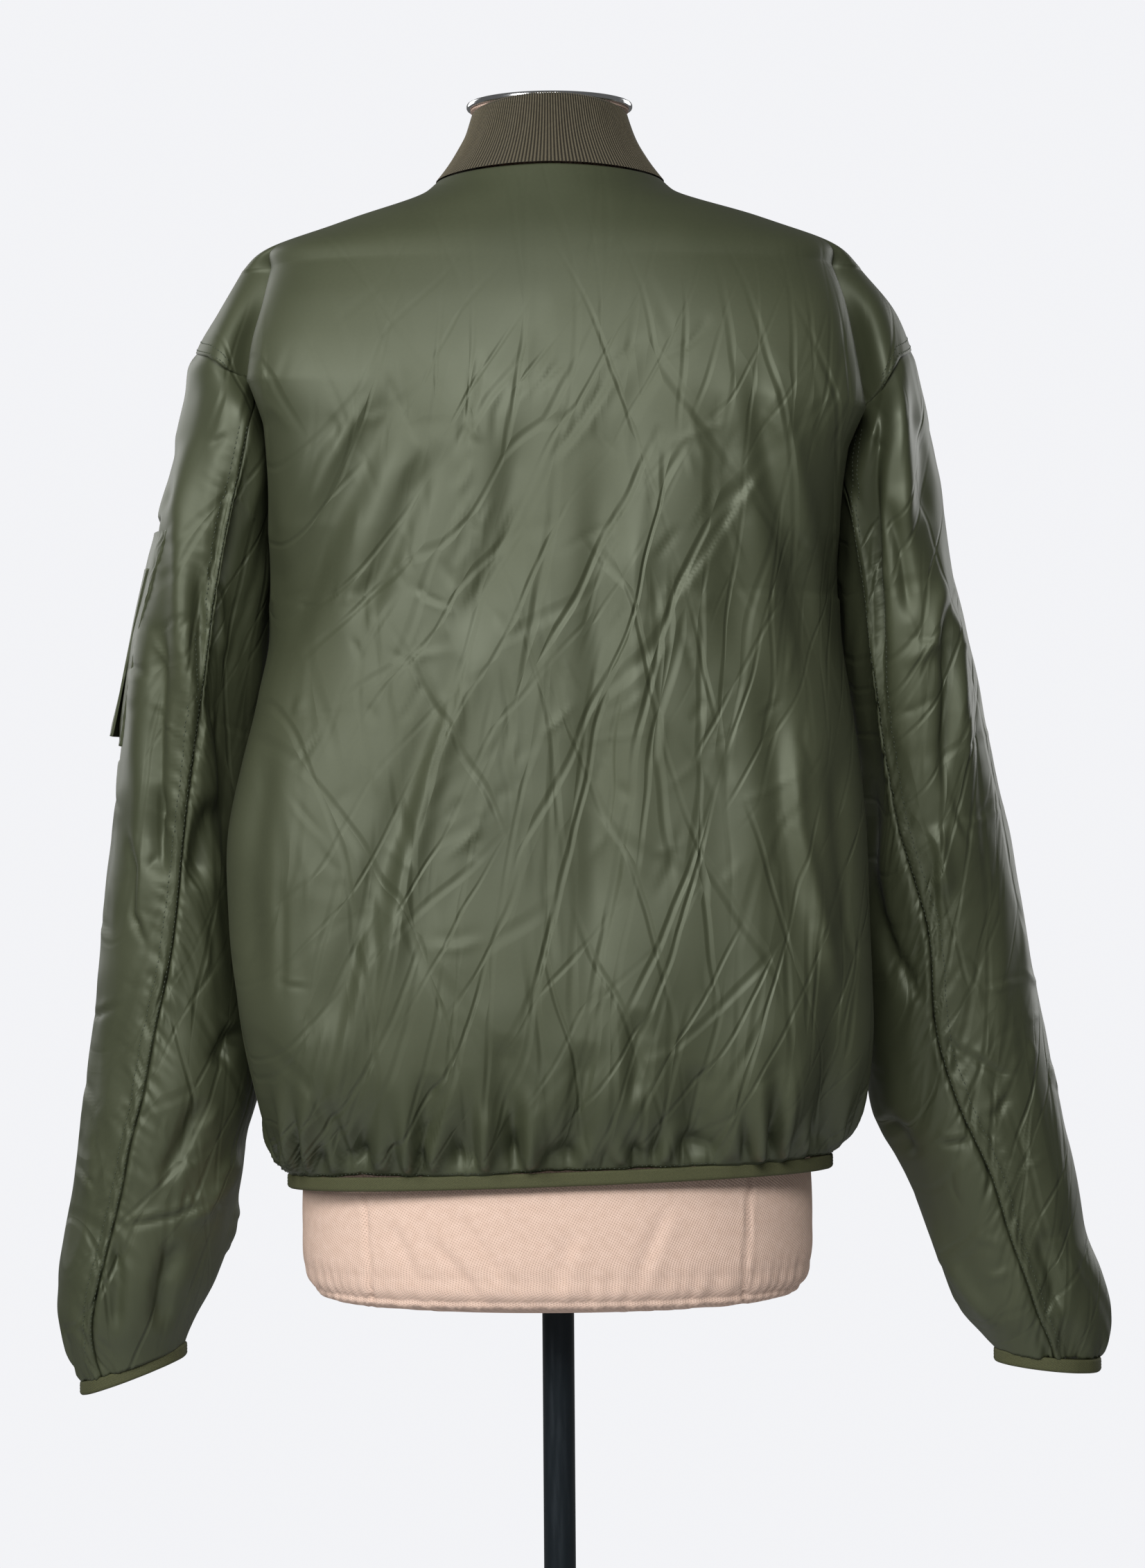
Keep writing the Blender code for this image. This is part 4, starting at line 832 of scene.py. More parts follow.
class EffectGroups:
    """Node groups that several finishes share, each built once."""

    def __init__(self) -> None:
        """Builds the groups."""
        self.weave = self.make_weave()
        self.clouds = self.make_clouds()
        self.crumple = self.make_crumple()

    @staticmethod
    def start(
        name: str, inputs: dict[str, float], outputs: tuple[str, ...]
    ) -> tuple[bpy.types.NodeTree, NodeTree]:
        """A new group with a vector input, number inputs and number outputs.

        Args:
            name: The group's name.
            inputs: Number inputs and their defaults.
            outputs: Number outputs.

        Returns:
            The group and its builder.
        """
        group = bpy.data.node_groups.new(name, "ShaderNodeTree")
        group.interface.new_socket("Vector", in_out="INPUT", socket_type="NodeSocketVector")
        for label, value in inputs.items():
            socket = group.interface.new_socket(label, in_out="INPUT", socket_type="NodeSocketFloat")
            socket.default_value = value
        for label in outputs:
            group.interface.new_socket(label, in_out="OUTPUT", socket_type="NodeSocketFloat")
        return group, NodeTree(group)

    def make_weave(self) -> bpy.types.NodeTree:
        """Crossing threads: Height is their relief and Gaps the share of shadow between them."""
        group, build = self.start("weave", {"Threads": 1500.0, "Slant": 0.0}, ("Height", "Gaps"))
        inside = build.add("NodeGroupInput")
        outside = build.add("NodeGroupOutput")
        apart = build.add("ShaderNodeSeparateXYZ")
        build.put(inside.outputs["Vector"], apart.inputs[0])
        slanted = build.math(
            "ADD", apart.outputs[0], build.math("MULTIPLY", apart.outputs[1], inside.outputs["Slant"])
        )
        across = build.math("SINE", build.math("MULTIPLY", slanted, inside.outputs["Threads"]))
        level = build.math(
            "SUBTRACT", apart.outputs[1], build.math("MULTIPLY", apart.outputs[0], inside.outputs["Slant"])
        )
        along = build.math("SINE", build.math("MULTIPLY", level, inside.outputs["Threads"]))
        height = build.math("MULTIPLY", build.math("ADD", across, along), 0.25)
        lifted = build.math("ADD", height, 0.5)
        build.put(lifted, outside.inputs["Height"])
        build.put(build.ramp(lifted, 0.0, 0.35, 1.0, 0.0), outside.inputs["Gaps"])
        return group

    def make_clouds(self) -> bpy.types.NodeTree:
        """Slow uneven patches from 0 to 1."""
        group, build = self.start("clouds", {"Scale": 8.0, "Contrast": 1.0}, ("Mask",))
        inside = build.add("NodeGroupInput")
        outside = build.add("NodeGroupOutput")
        texture = build.add("ShaderNodeTexNoise")
        build.put(inside.outputs["Vector"], texture.inputs["Vector"])
        build.put(inside.outputs["Scale"], texture.inputs["Scale"])
        texture.inputs["Detail"].default_value = 3.0
        centred = build.math("SUBTRACT", texture.outputs["Fac"], 0.5)
        spread = build.math("MULTIPLY", centred, inside.outputs["Contrast"])
        build.put(build.math("ADD", spread, 0.5), outside.inputs["Mask"])
        return group

    def make_crumple(self) -> bpy.types.NodeTree:
        """Long sharp creases of thin nylon that run one way: Height is their relief."""
        group, build = self.start(
            "crumple", {"Angle": 1.1, "Scale": 12.0, "Stretch": 0.3, "Warp": 0.03, "Sharp": 0.2}, ("Height",)
        )
        inside = build.add("NodeGroupInput")
        outside = build.add("NodeGroupOutput")
        bend = build.add("ShaderNodeTexNoise")
        build.put(inside.outputs["Vector"], bend.inputs["Vector"])
        bend.inputs["Scale"].default_value = 7.0
        bend.inputs["Detail"].default_value = 2.0
        centred = build.add("ShaderNodeVectorMath", operation="SUBTRACT")
        build.put(bend.outputs["Color"], centred.inputs[0])
        centred.inputs[1].default_value = (0.5, 0.5, 0.5)
        scaled = build.add("ShaderNodeVectorMath", operation="SCALE")
        build.put(centred.outputs[0], scaled.inputs[0])
        build.put(inside.outputs["Warp"], scaled.inputs["Scale"])
        moved = build.add("ShaderNodeVectorMath", operation="ADD")
        build.put(inside.outputs["Vector"], moved.inputs[0])
        build.put(scaled.outputs[0], moved.inputs[1])
        turned = build.add("ShaderNodeVectorRotate", rotation_type="Z_AXIS")
        build.put(moved.outputs[0], turned.inputs["Vector"])
        build.put(inside.outputs["Angle"], turned.inputs["Angle"])
        apart = build.add("ShaderNodeSeparateXYZ")
        build.put(turned.outputs[0], apart.inputs[0])
        drawn = build.add("ShaderNodeCombineXYZ")
        build.put(build.math("MULTIPLY", apart.outputs[0], inside.outputs["Stretch"]), drawn.inputs[0])
        build.put(apart.outputs[1], drawn.inputs[1])
        cells = build.add("ShaderNodeTexVoronoi", feature="DISTANCE_TO_EDGE")
        build.put(drawn.outputs[0], cells.inputs["Vector"])
        build.put(inside.outputs["Scale"], cells.inputs["Scale"])
        facet = build.ramp(cells.outputs["Distance"], 0.0, inside.outputs["Sharp"], 0.0, 1.0)
        patches = build.noise(turned.outputs[0], 6.0)
        shown = build.ramp(patches, 0.40, 0.62, 0.0, 1.0)
        build.put(build.math("MULTIPLY", facet, shown), outside.inputs["Height"])
        return group


@dataclass(frozen=True)
class Finish:
    """A Principled material. Each kind of surface adds its own pattern."""

    name: str
    colour: tuple[float, float, float]
    roughness: float
    metallic: float = 0.0
    sheen: float = 0.0
    specular: float = 0.5

    def start(self) -> tuple[bpy.types.Material, NodeTree, bpy.types.Node]:
        """A new material with its constant sockets set.

        Returns:
            The material, its builder and its shader.
        """
        made = bpy.data.materials.new(self.name)
        made.use_nodes = True
        build = NodeTree(made.node_tree)
        shader = made.node_tree.nodes["Principled BSDF"]
        shader.inputs["Base Color"].default_value = (*self.colour, 1.0)
        shader.inputs["Roughness"].default_value = self.roughness
        shader.inputs["Metallic"].default_value = self.metallic
        shader.inputs["Sheen Weight"].default_value = self.sheen
        shader.inputs["Sheen Roughness"].default_value = 0.45
        shader.inputs["Specular IOR Level"].default_value = self.specular
        made.diffuse_color = (*self.colour, 1.0)
        return made, build, shader

    def tint(self, factor: float, warm: float = 0.0) -> tuple[float, float, float, float]:
        """The finish's colour made lighter or darker, and warmer."""
        red, green, blue = self.colour
        return (red * factor * (1 + warm), green * factor, blue * factor * (1 - warm), 1.0)

    def make(self) -> bpy.types.Material:
        """A plain version of the finish."""
        made, _, _ = self.start()
        return made


def cloth_map(build: NodeTree) -> bpy.types.NodeSocket:
    """The cloth's own distances across and down, in metres."""
    node = build.add("ShaderNodeUVMap")
    node.uv_map = "cloth"
    return node.outputs[0]


def group_node(build: NodeTree, group: bpy.types.NodeTree, vector: object, **values: float) -> bpy.types.Node:
    """A group placed in a material with its own values.

    Args:
        build: The material's builder.
        group: The group.
        vector: What feeds its Vector.
        values: Values of its other inputs.

    Returns:
        The node.
    """
    node = build.add("ShaderNodeGroup", node_tree=group)
    build.put(vector, node.inputs["Vector"])
    for label, value in values.items():
        build.put(value, node.inputs[label])
    return node


def bump(build: NodeTree, height: object, distance: float, below: object = None) -> bpy.types.NodeSocket:
    """The normal of a relief.

    Args:
        build: The material's builder.
        height: The relief, 0 to 1.
        distance: Its depth in metres.
        below: The normal of a coarser relief under it.

    Returns:
        The normal.
    """
    node = build.add("ShaderNodeBump")
    node.inputs["Distance"].default_value = distance
    node.inputs["Strength"].default_value = 1.0
    build.put(height, node.inputs["Height"])
    if below is not None:
        build.put(below, node.inputs["Normal"])
    return node.outputs[0]


@dataclass(frozen=True)
class NylonFinish(Finish):
    """Thin satin nylon, softly creased."""

    creases: tuple[tuple[float, float, float, float, float], ...] = (
        (-1.32, 8.0, 0.22, 0.45, 0.0042),
        (-1.22, 21.0, 0.14, 0.045, 0.0008),
        (-1.85, 17.0, 0.18, 0.045, 0.0007),
        (-1.02, 34.0, 0.22, 0.07, 0.0005),
        (-1.45, 44.0, 0.12, 0.12, 0.0006),
    )
    calm_from: float = 1.335
    calm_to: float = 1.425

    def make(self, groups: EffectGroups) -> bpy.types.Material:
        """The material.

        Args:
            groups: The shared effects.

        Returns:
            The material.
        """
        made, build, shader = self.start()
        place = cloth_map(build)
        patches = group_node(build, groups.clouds, place, Scale=7.0, Contrast=2.0).outputs["Mask"]
        grain = build.noise(place, 420.0, 2.0)
        colour = build.mix(patches, self.tint(0.90), self.tint(1.10, 0.03))
        colour = build.mix(build.ramp(grain, 0.3, 0.7, 0.0, 0.16), colour, self.tint(0.72))
        build.put(colour, shader.inputs["Base Color"])
        rough = build.ramp(patches, 0.2, 0.8, self.roughness - 0.05, self.roughness + 0.05)
        build.put(rough, shader.inputs["Roughness"])
        where = build.add("ShaderNodeSeparateXYZ")
        build.put(build.add("ShaderNodeTexCoord").outputs["Object"], where.inputs[0])
        flat = build.add("ShaderNodeCombineXYZ")
        build.put(
            build.math("ADD", where.outputs[0], build.math("MULTIPLY", where.outputs[1], 0.5)),
            flat.inputs[0],
        )
        build.put(where.outputs[2], flat.inputs[1])
        shader.inputs["Specular Tint"].default_value = (0.93, 1.0, 0.80, 1.0)
        creased = build.ramp(where.outputs[2], self.calm_from, self.calm_to, 1.0, 0.12)
        normal = None
        for angle, scale, stretch, sharp, depth in self.creases:
            relief = group_node(
                build, groups.crumple, flat.outputs[0],
                Angle=angle, Scale=scale, Stretch=stretch, Warp=0.022, Sharp=sharp,
            ).outputs[0]
            normal = bump(build, build.math("MULTIPLY", relief, creased), depth, normal)
        build.put(normal, shader.inputs["Normal"])
        return made


@dataclass(frozen=True)
class RibFinish(Finish):
    """Knitted ribs with painted shade in their grooves. The groove mask is the piece's own attribute."""

    stitch: float = 1500.0

    def make(self, groups: EffectGroups) -> bpy.types.Material:
        """The material.

        Args:
            groups: The shared effects.

        Returns:
            The material.
        """
        made, build, shader = self.start()
        place = cloth_map(build)
        groove = build.add("ShaderNodeAttribute", attribute_name="groove").outputs["Fac"]
        fuzz = build.noise(place, 900.0, 3.0)
        # Painted shade: where the groove mask is 1, the knit's colour drops to a near-black copy that stands in for
        # the shade between the ribs.
        colour = build.mix(groove, self.tint(1.15, 0.02), self.tint(0.14))
        colour = build.mix(build.ramp(fuzz, 0.35, 0.7, 0.0, 0.35), colour, self.tint(0.55))
        build.put(colour, shader.inputs["Base Color"])
        weave = group_node(build, groups.weave, place, Threads=5200.0, Slant=0.6).outputs["Height"]
        normal = bump(build, build.math("ADD", weave, fuzz), 0.00018)
        build.put(normal, shader.inputs["Normal"])
        return made


@dataclass(frozen=True)
class LinenFinish(Finish):
    """Natural linen with a slanted weave and slubs, and painted shade between its threads."""

    def make(self, groups: EffectGroups) -> bpy.types.Material:
        """The material.

        Args:
            groups: The shared effects.

        Returns:
            The material.
        """
        made, build, shader = self.start()
        place = cloth_map(build)
        node = group_node(build, groups.weave, place, Threads=3300.0, Slant=0.55)
        clouds = group_node(build, groups.clouds, place, Scale=160.0, Contrast=1.8).outputs["Mask"]
        colour = build.mix(clouds, self.tint(0.92, 0.03), self.tint(1.08))
        # Painted shade: the weave's low places between the threads are darkened towards half the linen's colour.
        gap_shade = build.math("MULTIPLY", node.outputs["Gaps"], 0.9)
        colour = build.mix(gap_shade, colour, self.tint(0.5, 0.06))
        build.put(colour, shader.inputs["Base Color"])
        build.put(bump(build, node.outputs["Height"], 0.00022), shader.inputs["Normal"])
        return made


@dataclass(frozen=True)
class MetalFinish(Finish):
    """Hard metal or paint with light scratches and dust."""

    scratch: float = 0.25
    stretch: float = 12.0

    def make(self, groups: EffectGroups) -> bpy.types.Material:
        """The material.

        Args:
            groups: The shared effects.

        Returns:
            The material.
        """
        made, build, shader = self.start()
        where = build.add("ShaderNodeTexCoord").outputs["Object"]
        pulled = build.add("ShaderNodeMapping")
        build.put(where, pulled.inputs["Vector"])
        pulled.inputs["Scale"].default_value = (self.stretch, self.stretch, 1.0)
        streaks = build.noise(pulled.outputs[0], 24.0, 4.0)
        clouds = group_node(build, groups.clouds, where, Scale=14.0, Contrast=1.6).outputs["Mask"]
        colour = build.mix(clouds, self.tint(0.85), self.tint(1.15))
        build.put(colour, shader.inputs["Base Color"])
        rough = build.ramp(streaks, 0.35, 0.75, self.roughness, self.roughness + self.scratch)
        build.put(rough, shader.inputs["Roughness"])
        build.put(bump(build, streaks, 0.00003), shader.inputs["Normal"])
        return made


@dataclass(frozen=True)
class ThreadFinish(Finish):
    """Twisted sewing thread."""

    def make(self, groups: EffectGroups) -> bpy.types.Material:
        """The material.

        Args:
            groups: The shared effects.

        Returns:
            The material.
        """
        made, build, shader = self.start()
        where = build.add("ShaderNodeTexCoord").outputs["Object"]
        clouds = group_node(build, groups.clouds, where, Scale=900.0, Contrast=2.0).outputs["Mask"]
        build.put(build.mix(clouds, self.tint(0.7), self.tint(1.3)), shader.inputs["Base Color"])
        return made


@dataclass
class Wardrobe:
    """All the materials of the jacket, the form and the stand."""

    groups: EffectGroups
    nylon: bpy.types.Material = field(init=False)
    knit: bpy.types.Material = field(init=False)
    binding: bpy.types.Material = field(init=False)
    tape: bpy.types.Material = field(init=False)
    zip_metal: bpy.types.Material = field(init=False)
    linen: bpy.types.Material = field(init=False)
    chrome: bpy.types.Material = field(init=False)
    steel: bpy.types.Material = field(init=False)
    thread: bpy.types.Material = field(init=False)

    def __post_init__(self) -> None:
        """Makes every finish."""
        groups = self.groups
        self.nylon = NylonFinish("nylon", (0.045, 0.052, 0.027), 0.54, specular=0.70).make(groups)
        self.knit = RibFinish("rib_knit", (0.105, 0.092, 0.062), 0.9, sheen=0.1, specular=0.2).make(groups)
        self.binding = RibFinish("elastic_binding", (0.066, 0.070, 0.032), 0.8, specular=0.3).make(groups)
        self.tape = RibFinish("zip_tape", (0.050, 0.056, 0.036), 0.85, specular=0.3).make(groups)
        self.zip_metal = MetalFinish("zip_metal", (0.30, 0.28, 0.24), 0.32, 1.0).make(groups)
        self.linen = LinenFinish("linen", (0.76, 0.565, 0.465), 0.9, specular=0.2).make(groups)
        self.chrome = MetalFinish("chrome", (0.72, 0.73, 0.74), 0.10, 1.0, scratch=0.08).make(groups)
        self.steel = MetalFinish("blued_steel", (0.020, 0.027, 0.033), 0.28, 0.6, scratch=0.2).make(groups)
        self.thread = ThreadFinish("thread", (0.050, 0.062, 0.038), 0.6).make(groups)


# ---------------------------------------------------------------- the body's panels


def rows_from(points: list[Array]) -> Array:
    """Rows stacked into a grid."""
    return np.stack(points)


def metres_along(points: Array, axis: int) -> Array:
    """Running distance along the rows (axis 1) or the columns (axis 0) of a grid."""
    steps = np.linalg.norm(np.diff(points, axis=axis), axis=2)
    start = np.zeros_like(np.take(steps, [0], axis=axis))
    return np.cumsum(np.concatenate([start, steps], axis=axis), axis=axis)


@dataclass
class BodyPanel:
    """A back or a front: its grid, and the folds pressed into it."""

    name: str
    node: str
    facing: Facing
    sides: tuple[Side, ...]
    creases: list[Crease]
    gathers: list[Gathers]
    half_columns: int = 110
    shoulder_columns: int = 36
    top_rows: int = 64
    shoulder_rows: int = 34
    low_rows: int = 216
    valley_depth: float = 0.020
    valley_width: float = 0.0075

    def edge_heights(self, side: Side) -> tuple[Array, Array, Array]:
        """Heights of the rows at one side: above the dimple, along the fold, and below it."""
        fold_end = float(SLEEVES[side].armhole_height(JACKET.fold_turn))
        start = JACKET.neck_side_z - (0.0004 if self.facing is Facing.BACK else 0.0012)
        top = np.linspace(start, JACKET.dimple_z + 0.0012, self.top_rows)
        fold = np.linspace(JACKET.dimple_z, fold_end, self.shoulder_rows)
        hole = int(self.low_rows * 0.26)
        under = np.linspace(fold_end, JACKET.underarm_z, hole + 1)[1:]
        low = np.linspace(JACKET.underarm_z, JACKET.hem_z, self.low_rows - hole + 1)[1:]
        return top, fold, np.concatenate([under, low])

    def half_rows(self, side: Side, middles: Array) -> tuple[Array, Array]:
        """One side's rows from the middle to its edge, and its shoulder end.

        Args:
            side: Which side.
            middles: Heights of all rows at the panel's middle.

        Returns:
            The rows above the dimple, and those below it with the shoulder's rows.
        """
        top, fold, low = self.edge_heights(side)
        shares = np.linspace(0.0, 1.0, self.half_columns + 1)
        shoulder_shares = np.linspace(0.0, 1.0, self.shoulder_columns + 1)
        fold_end = JACKET.edge(side, JACKET.dimple_z, self.facing)
        turn = np.linspace(JACKET.fold_turn, 0.0, 60)
        pinched = []
        for height, middle in zip([*top, JACKET.dimple_z], middles[: len(top) + 1]):
            main = JACKET.half_path(side, float(height), float(middle), self.facing, fold_end)
            end = SLEEVES[side].point(-self.facing.value * turn, np.full_like(turn, height))
            pinched.append(np.concatenate([resample(main, shares), resample(end, shoulder_shares)[1:]]))
        steps = np.linalg.norm(np.diff(pinched[-1], axis=0), axis=1)
        lengths = np.concatenate([[0.0], np.cumsum(steps)])
        lengths /= lengths[-1]
        rows = []
        for height, middle, pinch in zip(top, middles, pinched):
            path = JACKET.half_path(side, float(height), float(middle), self.facing)
            row = resample(path, lengths)
            held = float(smoothstep(JACKET.dimple_z + 0.030, JACKET.dimple_z, height)) ** 1.3
            edge = smoothstep(lengths[self.half_columns], 1.0, lengths)[:, None]
            rows.append(row * (1 - held) + (pinch + (row[-1] - pinch[-1]) * edge) * held)
        below = []
        for height, middle in zip(np.concatenate([fold, low]), middles[len(top):]):
            path = JACKET.half_path(side, float(height), float(middle), self.facing)
            below.append(resample(path, shares))
        below = rows_from(below)
        heights = np.concatenate([fold, low])
        reach = np.exp(-0.5 * ((heights[:, None] - heights[None, :]) / 0.013) ** 2) * np.gradient(-heights)
        eased = (reach / reach.sum(axis=1, keepdims=True)) @ below[..., 1]
        held = smoothstep(0.062, 0.030, np.abs(heights - fold[-1]))[:, None] * smoothstep(1.0, 0.85, shares)
        below[..., 1] += (eased - below[..., 1]) * held
        ends = []
        for share in np.linspace(0.0, 1.0, len(fold)):
            ends.append(resample(JACKET.shoulder_path(side, float(share), self.facing), shoulder_shares))
        return rows_from(rows), (below, rows_from(ends))

    def lay(self) -> Cloth:
        """The panel laid on its form, before its folds.

        Returns:
            The cloth.
        """
        cloth = Cloth(self.name)
        heights = [np.concatenate(self.edge_heights(side)) for side in self.sides]
        middles = sum(heights) / len(heights)
        if self.facing is Facing.BACK:
            rise = smoothstep(JACKET.neck_side_z - 0.03, JACKET.neck_side_z, middles)
            middles = middles + (JACKET.neck_back_z - JACKET.neck_side_z) * rise
        tops = []
        belows = []
        for side in self.sides:
            top, (below, ends) = self.half_rows(side, middles)
            tops.append(top)
            belows.append(below)
            ends = JACKET.tilt_hem(ends)
            length = metres_along(ends, 1) + metres_along(below, 1)[: len(ends), -1:]
            down = np.broadcast_to((middles[0] - middles[self.top_rows:][: len(ends)])[:, None], length.shape)
            cloth.lay(ends, length * side.value, down, np.ones_like(length))
        for parts, first in ((tops, 0), (belows, self.top_rows)):
            grids = []
            lengths = []
            for side, part in zip(self.sides, parts):
                length = metres_along(part, 1) * side.value
                if side is Side.LEFT:
                    part = part[:, ::-1]
                    length = length[:, ::-1]
                grids.append(part)
                lengths.append(length)
            if len(grids) == 2:
                grid = np.concatenate([grids[0], grids[1][:, 1:]], axis=1)
                length = np.concatenate([lengths[0], lengths[1][:, 1:]], axis=1)
            else:
                grid, length = grids[0], lengths[0]
            grid = JACKET.tilt_hem(grid)
            down = np.broadcast_to((middles[0] - middles[first:][: len(grid)])[:, None], length.shape)
            cloth.lay(grid, length, down)
        # The rows above the dimple meet the row at it with a strip of their own.
        dimple = []
        for side in self.sides:
            top, (below, ends) = self.half_rows(side, middles)
            last = np.concatenate([below[0], ends[0][1:]])
            dimple.append(np.stack([top[-1], last]))
        if len(dimple) == 2:
            strip = np.concatenate([dimple[0][:, ::-1], dimple[1][:, 1:]], axis=1)
            length = np.concatenate([
                -metres_along(dimple[0], 1)[:, ::-1], metres_along(dimple[1], 1)[:, 1:]
            ], axis=1)
        else:
            strip = dimple[0]
            length = metres_along(strip, 1) * self.sides[0].value
            if self.sides[0] is Side.LEFT:
                strip, length = strip[:, ::-1], length[:, ::-1]
        down = np.array([middles[0] - middles[self.top_rows - 1], middles[0] - middles[self.top_rows]])
        cloth.lay(strip, length, np.broadcast_to(down[:, None], length.shape))
        cloth.join(Vector((0.0, float(self.facing.value), 0.0)))
        return cloth

    def edge_distance(self, points: Array) -> Array:
        """Distance from the panel's side edges, seen from the back or the front."""
        x, y, z = points[:, 0], points[:, 1], points[:, 2]
        near = np.full(len(points), 1.0)
        for side in self.sides:
            column = 1 if side is Side.LEFT else 2
            seam_x = side.value * JACKET.side_seam.at(z, column)
            seam_y = JACKET.side_seam.at(z, 3)
            low = z < JACKET.underarm_z
            near = np.where(low, np.minimum(near, np.hypot(x - seam_x, y - seam_y)), near)
            sleeve = SLEEVES[side]
            turn = np.clip(sleeve.armhole_turn(z), JACKET.fold_turn, 180.0)
            seam = sleeve.point(-self.facing.value * turn, z)
            hole = (z >= JACKET.underarm_z) & (z <= JACKET.dimple_z)
            away = np.hypot(x - seam[:, 0], y - seam[:, 1])
            near = np.where(hole, np.minimum(near, away), near)
        if self.facing is Facing.FRONT:
            near = np.minimum(near, np.abs(np.abs(x) - JACKET.zip_half_width) + 0.004)
        return near

    def press(self, cloth: Cloth) -> None:
        """Presses the folds, the shoulder valleys and the gathers into the cloth.

        Args:
            cloth: The laid panel.
        """
        points, normals, across, down = cloth.places()
        x, z = points[:, 0], points[:, 2]
        near = self.edge_distance(points)
        inner = np.abs(x) < 0.188 + 0.02 * smoothstep(1.215, 1.15, z)
        calm = np.where(
            z > JACKET.underarm_z,
            np.where(inner, smoothstep(0.0, 0.016, near), 0.0),
            smoothstep(0.0, 0.02, near),
        )
        shift = np.zeros(len(x))
        for crease in self.creases:
            shift += crease.shift(x, z)
        up = z - (JACKET.hem_z + JACKET.hem_slope_x * x + JACKET.hem_slope_y * points[:, 1])
        hem_calm = smoothstep(-0.002, 0.018, up)
        shift *= calm * hem_calm
        random = 31 if self.facing is Facing.BACK else 57
        slack = smoothstep(1.42, 1.30, z)
        shift += slack * calm * 0.0026 * ripple(across * 11 + 7, down * 2.3 + 3, random + 2)
        shift += slack * calm * 0.0014 * ripple(
            across * 21 + down * 4 + 9, down * 6 - across * 5 + 13, random
        )
        shift += slack * calm * 0.0005 * ripple(across * 38 + 7, down * 13 + 3, random + 1)
        near_hem = smoothstep(0.0, 0.02, near + 0.004)
        for gathers in self.gathers:
            shift += near_hem * gathers.shift(across + 0.5 * gathers.length, up)
        outer = cloth.shades() > 0.5
        width = np.where(outer, self.valley_width * 1.9, self.valley_width)
        valley = (
            np.exp(-((near / width) ** 2)) * (z < JACKET.dimple_z + 0.006) * (z > JACKET.underarm_z - 0.03)
        )
        valley *= smoothstep(JACKET.dimple_z + 0.005, JACKET.dimple_z - 0.050, z)
        valley *= smoothstep(JACKET.underarm_z - 0.005, JACKET.underarm_z + 0.045, z) * (np.abs(x) > 0.12)
        moved = points - normals * shift[:, None]
        moved[:, 1] -= self.facing.value * self.valley_depth * valley
        cloth.move(moved)

    def make(self, wardrobe: Wardrobe, flat: tuple[float, float], area: float) -> bpy.types.Object:
        """The finished panel.

        Args:
            wardrobe: The materials.
            flat: Width and length of the cut; not used.
            area: The cut's flat area; not used.

        Returns:
            The object.
        """
        cloth = self.lay()
        self.press(cloth)
        cloth.turn_in(0.0026)
        obj = place_on(cloth.finish(wardrobe.nylon), "nylon", self.node)
        return obj


